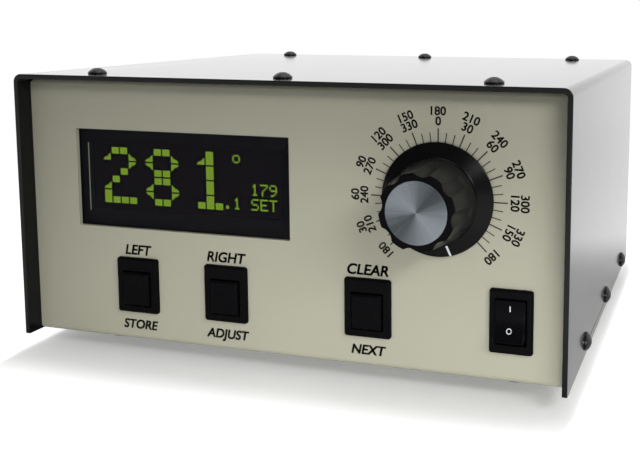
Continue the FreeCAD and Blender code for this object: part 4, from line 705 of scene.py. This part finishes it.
def makeScrewHead(look):  # a low dome with a six-sided socket
    rise = look["height"] - look["rim"]
    ball = (look["radius"] ** 2 + rise ** 2) / (2 * rise)
    narrowing = (look["radius"] - look["socket"]) / look["rows"]
    reaches = [look["radius"] - narrowing * row for row in range(look["rows"] + 1)]
    dome = [(reach, look["height"] - ball + math.sqrt(ball ** 2 - reach ** 2))
            for reach in reaches]
    floor = look["height"] - look["socketDeep"]
    mesh = spun("screwHead", [
        (0, -look["length"]), (look["shank"], -look["length"]), (look["shank"], 0),
        (look["radius"], 0, look["foot"]), *dome, (look["socket"], floor), (0, floor),
    ], look["around"])
    sixth = math.pi / 3
    bottom, edge = (floor - look["slack"]) * mm, (look["socket"] + look["slack"]) * mm
    for vertex in mesh.vertices:
        x, y, height = vertex.co
        if height > bottom and math.hypot(x, y) < edge:
            fold = math.atan2(y, x) % sixth - sixth / 2
            vertex.co.x, vertex.co.y = x / math.cos(fold), y / math.cos(fold)
    mesh.set_sharp_from_angle(angle=math.radians(look["sharp"]))
    return mesh


def placeScrews(graph, entry):  # heads point up, or away from the middle where they lean
    head = graph.add("GeometryNodeObjectInfo", {}, {"Object": entry["Head"]}, key="Geometry")
    across, _, _ = graph.parts(graph.add("GeometryNodeInputPosition"))
    side = graph.sum("SIGN", across)
    lean = graph.add("ShaderNodeCombineXYZ", {}, {"Y": side * entry["Lean"]})
    screws = graph.add("GeometryNodeInstanceOnPoints", {}, {
        "Points": entry["Geometry"], "Instance": head, "Rotation": lean})
    random = graph.add("FunctionNodeRandomValue", {"data_type": "FLOAT"},
                       {2: 0.0, 3: 2 * math.pi, "Seed": entry["Seed"]}, key=1)
    turn = graph.add("ShaderNodeCombineXYZ", {}, {"Z": random})
    return graph.add("GeometryNodeRotateInstances", {},
                     {"Instances": screws, "Rotation": turn, "Local Space": True})


def makeScrews(look):
    head = hostOf("screwHead", makeScrewHead(look))
    inset, height = look["radius"] * mm, look["height"] * mm
    low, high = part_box("top_screws")
    onTop = [(x, y, high.z - height)
             for x in (low.x + inset, (low.x + high.x) / 2, high.x - inset)
             for y in (low.y + inset, high.y - inset)]
    low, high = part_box("side_screws")
    onSides = [(x, y, (low.z + high.z) / 2) for x in (low.x + height, high.x - height)
               for y in (low.y + inset, (low.y + high.y) / 2, high.y - inset)]
    rows = {"top_screws": (onTop, 0.0), "side_screws": (onSides, math.pi / 2)}
    for node, (places, lean) in rows.items():
        points = bpy.data.meshes.new(node)
        points.from_pydata(places, [], [])
        mesh = grown(node + "Heads", {"Head": head, "Lean": lean, "Seed": look["seed"]},
                     placeScrews, "black_steel", points)
        piece = newPiece(node + "Heads", mesh, "black_steel")
        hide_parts(node)
    bpy.data.objects.remove(head)
    print("screws set,", len(onTop) + len(onSides))


makeScrews(screwHead)

knob = {
    "skirt": 19.05, "gap": 0.8, "edge": 0.9, "shoulder": 14.5, "shoulderHeight": 3.8,
    "foot": 13.9, "footHeight": 4.4, "rim": 12.4, "crownHeight": 23.4, "rimRound": 0.35,
    "inlay": 10.05, "inlayFloor": 22.5, "core": 10.2,
    "hollow": 1.0, "lip": 1.0, "lipFoot": 1.5,
    "well": 8.6, "wellTop": 7.4, "bore": 5.0, "boreTop": 17.4,
    "flutes": 8, "flute": 4.0, "fluteAcross": 16.68, "fluteFoot": 10.25, "fluteLean": 6.5,
    "fluteStart": 0.3, "smooth": 0.14, "pointer": 165.0,
    # the mesh: points around, and rows up the hub and in over the crown
    "around": 512, "rowStart": 0.4, "hubRows": 41, "hubStep": 0.45,
    "crownRows": 7, "crownStep": 0.3,
}


def carveKnob(graph, entry):  # presses leaning round flutes into a plain turned hub
    across, up, height = graph.parts(graph.add("GeometryNodeInputPosition"))
    radius = graph.reach(across, up)
    angle = graph.sum("ARCTAN2", up, across) - entry["First"]
    turn = graph.sum("PINGPONG", angle + 4 * math.pi, entry["Half step"])
    above = graph.sum("MAXIMUM", height - entry["Foot"], 0.0)
    below = graph.sum("MAXIMUM", entry["Foot"] - height, 0.0)
    centre = entry["Centre"] - above * entry["Lean"]
    sideways = centre * graph.sum("SINE", turn)
    chord = entry["Cutter"] * entry["Cutter"] - below * below - sideways * sideways
    depth = graph.sum("SQRT", graph.sum("MAXIMUM", chord, 0.0))
    floor = centre * graph.sum("COSINE", turn) - depth
    side = entry["Hub"] - height * entry["Taper"]
    inside = chord > 0.0
    cut = inside * floor + (1 - inside) * side * 1.1  # outside the hub where no flute is
    carved = graph.sum("SMOOTH_MIN", side, cut, entry["Smooth"])
    share = (carved - entry["Core"]) / (side - entry["Core"])
    onHub = (height > entry["Hub foot"]) * (radius > entry["Core"])
    pressed = entry["Core"] + (radius - entry["Core"]) * share
    scaled = onHub * (pressed / graph.sum("MAXIMUM", radius, 0.1 * mm) - 1) + 1
    moved = graph.add("ShaderNodeCombineXYZ", {},
                      {"X": across * scaled, "Y": up * scaled, "Z": height})
    return graph.add("GeometryNodeSetPosition", {},
                     {"Geometry": entry["Geometry"], "Position": moved})


def makeKnob(look):
    taper = (look["foot"] - look["rim"]) / (look["crownHeight"] - look["footHeight"])
    rises = [look["rowStart"] + look["hubStep"] * row for row in range(look["hubRows"])]
    hubRows = [(look["foot"] - taper * rise, look["footHeight"] + rise) for rise in rises]
    crownRows = [(look["rim"] - look["rowStart"] - look["crownStep"] * row,
                  look["crownHeight"]) for row in range(look["crownRows"])]
    under = look["gap"] + look["hollow"]
    plainKnob = spun("plainKnob", [
        (look["bore"], look["boreTop"]), (look["bore"], look["wellTop"]),
        (look["well"], look["wellTop"]), (look["well"], under),
        (look["skirt"] - look["lipFoot"], under, 0.3),
        (look["skirt"] - look["lip"], look["gap"], 0.2),
        (look["skirt"], look["gap"], 0.15), (look["skirt"], look["gap"] + look["edge"], 0.35),
        (look["shoulder"], look["shoulderHeight"], 0.5),
        (look["foot"], look["footHeight"], 0.25), *hubRows,
        (look["rim"], look["crownHeight"], look["rimRound"]), *crownRows,
        (look["inlay"], look["crownHeight"], 0.08), (look["inlay"], look["inlayFloor"]),
        (0, look["inlayFloor"]),
    ], look["around"])
    pointerWay = math.radians(90 - look["pointer"])
    half = math.pi / look["flutes"]
    mesh = grown("knobFlutes", {
        "Half step": half, "First": pointerWay + half,
        "Lean": math.tan(math.radians(look["fluteLean"])),
        "Cutter": look["flute"] * mm, "Centre": look["fluteAcross"] * mm,
        "Foot": look["fluteFoot"] * mm, "Smooth": look["smooth"] * mm, "Taper": taper,
        "Hub": (look["foot"] + taper * look["footHeight"]) * mm,
        "Hub foot": (look["footHeight"] + look["fluteStart"]) * mm, "Core": look["core"] * mm,
    }, carveKnob, "knob_plastic", plainKnob, weighted=True)
    piece = newPiece("knobMoulding", mesh, "knob_plastic", "dial", onDial())
    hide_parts("dial_knob")
    return piece


knobPiece = makeKnob(knob)

pointerLine = {"inner": 15.2, "outer": 18.9, "wide": 0.75, "lift": 0.03, "start": 30}


def makePointer(look):  # drawn before the knob, then laid on its skirt
    mesh = gridMesh("pointerLine", 2, 10)
    length = look["outer"] - look["inner"]
    mesh.transform(
        onDial() @ Matrix.Rotation(math.radians(-knob["pointer"]), 4, "Z")
        @ Matrix.Translation((0, (look["inner"] + length / 2) * mm, look["start"] * mm))
        @ Matrix.Diagonal((look["wide"] * mm, length * mm, 1, 1)))
    laidOn(mesh, knobPiece, look["lift"])
    newPiece("pointerLine", mesh, "whitePrint", "dial")


makePointer(pointerLine)
print("knob turned and fluted")

rockerMarks = {
    "barWide": 0.34, "barHigh": 1.9, "barUp": 4.85, "ring": 0.9, "stroke": 0.28,
    "ringDown": 2.1, "around": 40, "lift": 0.03, "start": 15,
}


def makeRockerMarks(look):  # a bar over a ring
    shape = bmesh.new()
    bmesh.ops.create_grid(shape, x_segments=2, y_segments=6, size=0.5, matrix=(
        Matrix.Translation((0, look["barUp"] * mm, 0))
        @ Matrix.Diagonal((look["barWide"] * mm, look["barHigh"] * mm, 1, 1))))
    around = look["around"]
    spokes = [2 * math.pi * step / around for step in range(around)]
    rings = [[shape.verts.new((radius * mm * math.cos(spoke),
                               (radius * math.sin(spoke) - look["ringDown"]) * mm, 0))
              for spoke in spokes] for radius in (look["ring"] - look["stroke"], look["ring"])]
    for step in range(around):
        after = (step + 1) % around
        shape.faces.new((rings[0][step], rings[1][step], rings[1][after], rings[0][after]))
    mesh = bpy.data.meshes.new("rockerMarks")
    shape.to_mesh(mesh)
    shape.free()
    x, z = middle("power_rocker").x / mm, middle("switch_housing").z / mm
    mesh.transform(onPanel(x, z, look["start"]))
    laidOn(mesh, softPieces["power_rocker"], look["lift"])
    newPiece("rockerMarks", mesh, "whitePrint", "rocker")


makeRockerMarks(rockerMarks)
print("rocker marked")

dotsAcross, dotsDown = 5, 8  # in one character
figures = {  # small characters, row by row
    "1": "00100 01100 00100 00100 00100 00100 01110 00000",
    "7": "11111 00001 00010 00100 01000 01000 01000 00000",
    "9": "01110 10001 10001 01111 00001 00010 01100 00000",
    "o": "00000 01110 10001 10001 10001 01110 00000 00000",
    ".": "00000 00000 00000 00000 00000 01100 01100 00000",
    "S": "01111 10000 10000 01110 00001 00001 11110 00000",
    "E": "11111 10000 10000 11110 10000 10000 11111 00000",
    "T": "11111 00100 00100 00100 00100 00100 00100 00000",
}
slopes = (1, 2, 4, 5)  # lit dots in the four rows of a slanted half block
shownLines = (  # big figures are built of half blocks and slants
    "/^^b /^^b  /#  o    ",
    "  _p q__p   #       ",
    "/^   /^^b   #    179",
    "#___ q__p  _#_.1 SET",
)


def isLit(sign, column, row):
    if sign in figures:
        return figures[sign].split()[row][column] == "1"
    half = dotsDown // 2
    upper, fromLeft, fromRight = row < half, column, dotsAcross - 1 - column
    widening, narrowing = slopes[row % half], slopes[half - 1 - row % half]
    blocks = {
        "#": True, "^": upper, "_": not upper,
        "/": not upper and fromRight < widening, "b": not upper and fromLeft < widening,
        "q": upper and fromRight < narrowing, "p": upper and fromLeft < narrowing,
    }
    return blocks.get(sign, False)


def placeDots(graph, entry):
    dot = graph.add("GeometryNodeMeshGrid", {}, {
        "Size X": entry["Dot"], "Size Y": entry["Dot"], "Vertices X": 2, "Vertices Y": 2})
    return graph.add("GeometryNodeInstanceOnPoints", {},
                     {"Points": entry["Geometry"], "Instance": dot["Mesh"]})


def makeDots(look):
    left, top = look["left"] + look["dot"] / 2, look["top"] - look["dot"] / 2
    places = [(left + column * look["pitchAcross"] + dotColumn * look["dotPitch"],
               top - row * look["pitchUp"] - dotRow * look["dotPitch"])
              for row, line in enumerate(shownLines) for column, sign in enumerate(line)
              for dotRow in range(dotsDown) for dotColumn in range(dotsAcross)
              if isLit(sign, dotColumn, dotRow)]
    points = bpy.data.meshes.new("dotPlaces")
    points.from_pydata([(x * mm, z * mm, 0) for x, z in places], [], [])
    mesh = grown("litDots", {"Dot": look["dot"] * mm}, placeDots, "litDots", points)
    behind = (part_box("display_glass")[0].y - panelFace) / mm
    mesh.transform(onPanel(0, 0, look["lift"] - behind))
    newPiece("litDots", mesh, "litDots")
    print("display lit,", len(places), "dots")


makeDots(screen)

glintStrip = {"x": -78.7, "low": 54.0, "high": 79.5, "wide": 0.35, "lift": 0.05}


def makeLeak(look):  # a painted glint: a thin pale strip that glows along the edge of the display's frame
    mesh = gridMesh("lightLeak", 1, 12)
    behind = (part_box("display_frame")[0].y - panelFace) / mm
    height, length = (look["low"] + look["high"]) / 2, look["high"] - look["low"]
    mesh.transform(onPanel(look["x"], height, look["lift"] - behind)
                   @ Matrix.Diagonal((look["wide"] * mm, length * mm, 1, 1)))
    newPiece("lightLeak", mesh, "lightLeak")


makeLeak(glintStrip)

scale = {
    "half": 135.0, "longMarks": 13, "between": 3, "inner": 18.7, "outer": 23.4,
    "shortOuter": 22.1, "wide": 0.48, "shortWide": 0.36, "lift": 0.04,
    "firstBearing": 180, "bearingStep": 30, "innerNumbers": 25.8, "outerNumbers": 29.1,
    "height": 2.7, "weight": 0.09,
}


def placeMarks(graph, entry):  # one long mark, then short ones up to the next long one
    marks = graph.add("GeometryNodeMeshLine", {},
                      {"Count": entry["Count"], "Offset": (0, 0, 0)})
    index = graph.add("GeometryNodeInputIndex")
    isShort = graph.sum("MODULO", index, entry["Between"]) > 0.5
    length = entry["Long"] + (entry["Short"] - entry["Long"]) * isShort
    width = entry["Wide"] + (entry["Short Wide"] - entry["Wide"]) * isShort
    bar = graph.add("GeometryNodeMeshGrid", {},
                    {"Size X": 1.0, "Size Y": 1.0, "Vertices X": 2, "Vertices Y": 2})
    bar = graph.add("GeometryNodeTransform", {},
                    {"Geometry": bar["Mesh"], "Translation": (0, 0.5, 0)})
    way = entry["First"] - index * entry["Step"]
    turn = graph.add("ShaderNodeCombineXYZ", {}, {"Z": way})
    size = graph.add("ShaderNodeCombineXYZ", {}, {"X": width, "Y": length, "Z": 1.0})
    bars = graph.add("GeometryNodeInstanceOnPoints", {}, {
        "Points": marks, "Instance": bar, "Rotation": turn, "Scale": size})
    start = graph.add("ShaderNodeCombineXYZ", {}, {"Y": entry["Inner"] / length})
    return graph.add("GeometryNodeTranslateInstances", {},
                     {"Instances": bars, "Translation": start, "Local Space": True})


def makeScale(look):
    last, between = look["longMarks"] - 1, look["between"]
    every = 2 * look["half"] / last
    mesh = grown("dialMarks", {
        "Count": last * between + 1, "Between": between,
        "Step": math.radians(every / between), "First": math.radians(look["half"]),
        "Inner": look["inner"] * mm, "Long": (look["outer"] - look["inner"]) * mm,
        "Short": (look["shortOuter"] - look["inner"]) * mm, "Wide": look["wide"] * mm,
        "Short Wide": look["shortWide"] * mm,
    }, placeMarks, "scalePrint")
    where = onDial(look["lift"])
    mesh.transform(where)
    newPiece("dialMarks", mesh, "scalePrint")
    words = []
    for index in range(look["longMarks"]):
        turned = -look["half"] + index * every
        passed = look["bearingStep"] * index
        rows = [((look["firstBearing"] + passed) % 360, look["innerNumbers"])]
        if 0 < index < last:
            rows.append((passed, look["outerNumbers"]))
        for number, reach in rows:
            words.append((wordMesh(str(number), look["height"], look["weight"]),
                          Matrix.Rotation(math.radians(-turned), 4, "Z")
                          @ Matrix.Translation((0, reach * mm, 0))))
    numbers = joined("dialNumbers", words)
    newPiece("dialNumbers", numbers, "scalePrint", place=where)


makeScale(scale)

legends = {
    "lift": 0.04, "weight": 0.14, "slant": 0.2,
    "topHeight": 3.5, "top": 41.0, "lowHeight": 3.2, "low": 12.9,
    "words": {"left_button_housing": ("LEFT", "STORE"),
              "right_button_housing": ("RIGHT", "ADJUST"),
              "clear_button_housing": ("CLEAR", "NEXT")},
}


def makeLegends(look):
    words = []
    for housing, (above, below) in look["words"].items():
        x = middle(housing).x / mm
        for word, height, z in ((above, look["topHeight"], look["top"]),
                                (below, look["lowHeight"], look["low"])):
            words.append((wordMesh(word, height, look["weight"], look["slant"]),
                          onPanel(x, z, look["lift"])))
    mesh = joined("buttonWords", words)
    newPiece("buttonWords", mesh, "darkPrint")


makeLegends(legends)

rearPrint = {
    "lift": 0.04, "height": 2.6, "weight": 0.1,
    "ways": 8, "aboveStrip": 3.2, "portFlange": 30.8, "abovePort": 3.4,
}


def makeRearPrint(look):
    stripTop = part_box("terminal_strip")[1].z / mm + look["aboveStrip"]
    plates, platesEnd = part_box("terminal_plates")
    pitch = (platesEnd.x - plates.x) / mm / look["ways"]
    places = [(way + 1, platesEnd.x / mm - pitch * (way + 0.5), stripTop)
              for way in range(look["ways"])]
    ports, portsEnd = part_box("serial_ports")
    half, portTop = look["portFlange"] / 2, portsEnd.z / mm + look["abovePort"]
    places += [(1, portsEnd.x / mm - half, portTop), (2, ports.x / mm + half, portTop)]
    mesh = joined("rearNumbers", [
        (wordMesh(str(number), look["height"], look["weight"]), onRear(x, z, look["lift"]))
        for number, x, z in places])
    newPiece("rearNumbers", mesh, "darkPrint")


makeRearPrint(rearPrint)
print("scale, legends and rear numbers printed")

studio = {  # in metres, but for the paper's fibre
    "floorHalf": 6.0, "floorTone": (232, 232, 232), "fibre": 30, "fibreTone": 2,
    "backdrop": 1.0, "roomFront": 0.12, "roomBehind": 0.75, "horizon": (-0.25, 0.15),
    # how far sideways and forwards the paper brightens, from and to, and where it is white;
    # the low glow next to the case paints a shadow around it, in view and in reflections
    "seen": {"sideways": 0.005, "forwards": 0.034, "near": 0.24, "far": 0.8,
             "start": 0.1, "end": 0.4},
    "mirrored": {"sideways": 0.14, "forwards": 0.1, "near": 0.0, "far": 0.5,
                 "start": 0.15, "end": 0.9},
    "lamps": {
        "key": {"place": (0.4, -0.41, 0.32), "aim": (0.08, -0.08, 0.09), "wide": 0.3,
                "high": 0.1, "watts": 0.31, "spread": 75},
        "low": {"place": (0.12, -0.38, 0.03), "aim": (0.06, -0.08, 0.0), "wide": 0.3,
                "high": 0.04, "watts": 0.07, "spread": 40},
        "top": {"place": (0.2, -0.1, 1.3), "aim": (0, 0, 0.1), "wide": 0.9, "high": 0.9,
                "watts": 2.4, "spread": 180},
    },
}


def makeFloor(look):  # paper that turns into the white of the backdrop with distance, with a shadow painted around the case by a dimmer glow there
    half = look["floorHalf"]
    mesh = bpy.data.meshes.new("floor")
    mesh.from_pydata([(-half, -half, 0), (half, -half, 0), (half, half, 0), (-half, half, 0)],
                     [], [(0, 1, 2, 3)])
    material = bpy.data.materials.new("paperSweep")
    material.use_nodes = True
    graph = Graph(material.node_tree)
    spot = graph.spot()
    across, back, _ = graph.parts(spot)
    low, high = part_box("cover")
    centre = (low + high) / 2
    besideX = graph.sum("MAXIMUM", graph.sum("ABSOLUTE", across - centre.x) - high.x, 0.0)
    besideY = graph.sum("MAXIMUM", graph.sum("ABSOLUTE", back - centre.y)
                        - (high.y - low.y) / 2, 0.0)
    beside = graph.reach(besideX, besideY)
    paths = graph.add("ShaderNodeLightPath")
    rays = {"seen": graph.sum("MAXIMUM", paths["Is Camera Ray"], paths["Is Transmission Ray"]),
            "mirrored": paths["Is Glossy Ray"]}
    glow, away = 0, 0
    for way, ray in rays.items():
        paper = look[way]
        outwards = besideX / paper["sideways"] + besideY / paper["forwards"]
        grows = graph.add("ShaderNodeMapRange", {"interpolation_type": "SMOOTHSTEP"},
                          {"Value": outwards})
        fades = graph.add("ShaderNodeMapRange", {"interpolation_type": "SMOOTHSTEP"},
                          {"Value": beside, "From Min": paper["start"],
                           "From Max": paper["end"]})
        # painted shadow: the glow stays low next to the case and grows outwards
        glow = glow + ray * graph.ranged(grows, (paper["near"], paper["far"]))
        away = away + ray * fades
    fibres = [[value + more for value in look["floorTone"]] for more in (0, look["fibreTone"])]
    matt = graph.add("ShaderNodeBsdfDiffuse", {}, {
        "Color": graph.tones(graph.noise(spot, look["fibre"], 3.0), fibres)})
    lift = graph.add("ShaderNodeEmission", {}, {"Strength": glow})
    nearby = graph.add("ShaderNodeAddShader", {}, {0: matt, 1: lift})
    white = graph.add("ShaderNodeEmission", {}, {"Strength": look["backdrop"]})
    sweep = graph.add("ShaderNodeMixShader", {}, {0: away, 1: nearby, 2: white})
    graph.add("ShaderNodeOutputMaterial", {}, {"Surface": sweep})
    mesh.materials.append(material)
    hostOf("floor", mesh)


def makeRoom(look):  # a white backdrop behind the case, and a dimmer room before it
    world = bpy.data.worlds.new("studio")
    world.use_nodes = True
    bpy.context.scene.world = world
    graph = Graph(world.node_tree)
    _, back, _ = graph.parts(graph.add("ShaderNodeTexCoord", key="Generated"))
    start, end = look["horizon"]
    behind = graph.add("ShaderNodeMapRange", {"interpolation_type": "SMOOTHSTEP"},
                       {"Value": back, "From Min": start, "From Max": end})
    paths = graph.add("ShaderNodeLightPath")
    direct = graph.sum("MAXIMUM", paths["Is Camera Ray"], paths["Is Transmission Ray"])
    mirrored = paths["Is Glossy Ray"]
    lighting = graph.ranged(behind, (look["roomFront"], look["roomBehind"]))
    inMirror = graph.ranged(behind, (look["roomFront"], look["backdrop"]))
    strength = lighting * (1 - direct - mirrored) + look["backdrop"] * direct
    sky = graph.add("ShaderNodeBackground", {}, {
        "Color": (1, 1, 1, 1), "Strength": strength + inMirror * mirrored})
    graph.add("ShaderNodeOutputWorld", {}, {"Surface": sky})


def makeLamps(look):
    for name, lamp in look["lamps"].items():
        data = bpy.data.lights.new(name, "AREA")
        data.shape, data.energy = "RECTANGLE", lamp["watts"]
        data.size, data.size_y = lamp["wide"], lamp["high"]
        data.spread = math.radians(lamp["spread"])
        light = hostOf(name, data)
        light.visible_camera = False
        light.location = lamp["place"]
        towards = Vector(lamp["aim"]) - light.location
        light.rotation_euler = towards.to_track_quat("-Z", "Y").to_euler()


makeFloor(studio)
makeRoom(studio)
makeLamps(studio)

shot = {  # lengths in the camera's frame are in its pixels, and clip is in metres
    "place": (145.8, -376.95, 127.5), "yaw": 17.11, "pitch": 6.99, "roll": 0.16,
    "focal": 954.8, "axisAcross": 430, "axisDown": 130, "pictureWide": 640,
    "pictureHigh": 453, "film": 36.0, "clip": (0.01, 50),
}


def makeCamera(look):
    data = bpy.data.cameras.new("camera")
    data.sensor_width = look["film"]
    data.lens = look["focal"] / look["pictureWide"] * look["film"]
    data.shift_x = (look["pictureWide"] / 2 - look["axisAcross"]) / look["pictureWide"]
    data.shift_y = (look["axisDown"] - look["pictureHigh"] / 2) / look["pictureWide"]
    data.clip_start, data.clip_end = look["clip"]
    camera = hostOf("camera", data)
    camera.matrix_world = Matrix.Translation([value * mm for value in look["place"]]) @ \
        Matrix.Rotation(math.radians(look["yaw"]), 4, "Z") @ \
        Matrix.Rotation(math.radians(90 - look["pitch"]), 4, "X") @ \
        Matrix.Rotation(math.radians(look["roll"]), 4, "Z")
    bpy.context.scene.camera = camera


makeCamera(shot)
bpy.context.scene.view_settings.view_transform = "Standard"
print("studio ready")

bpy.context.view_layer.update()
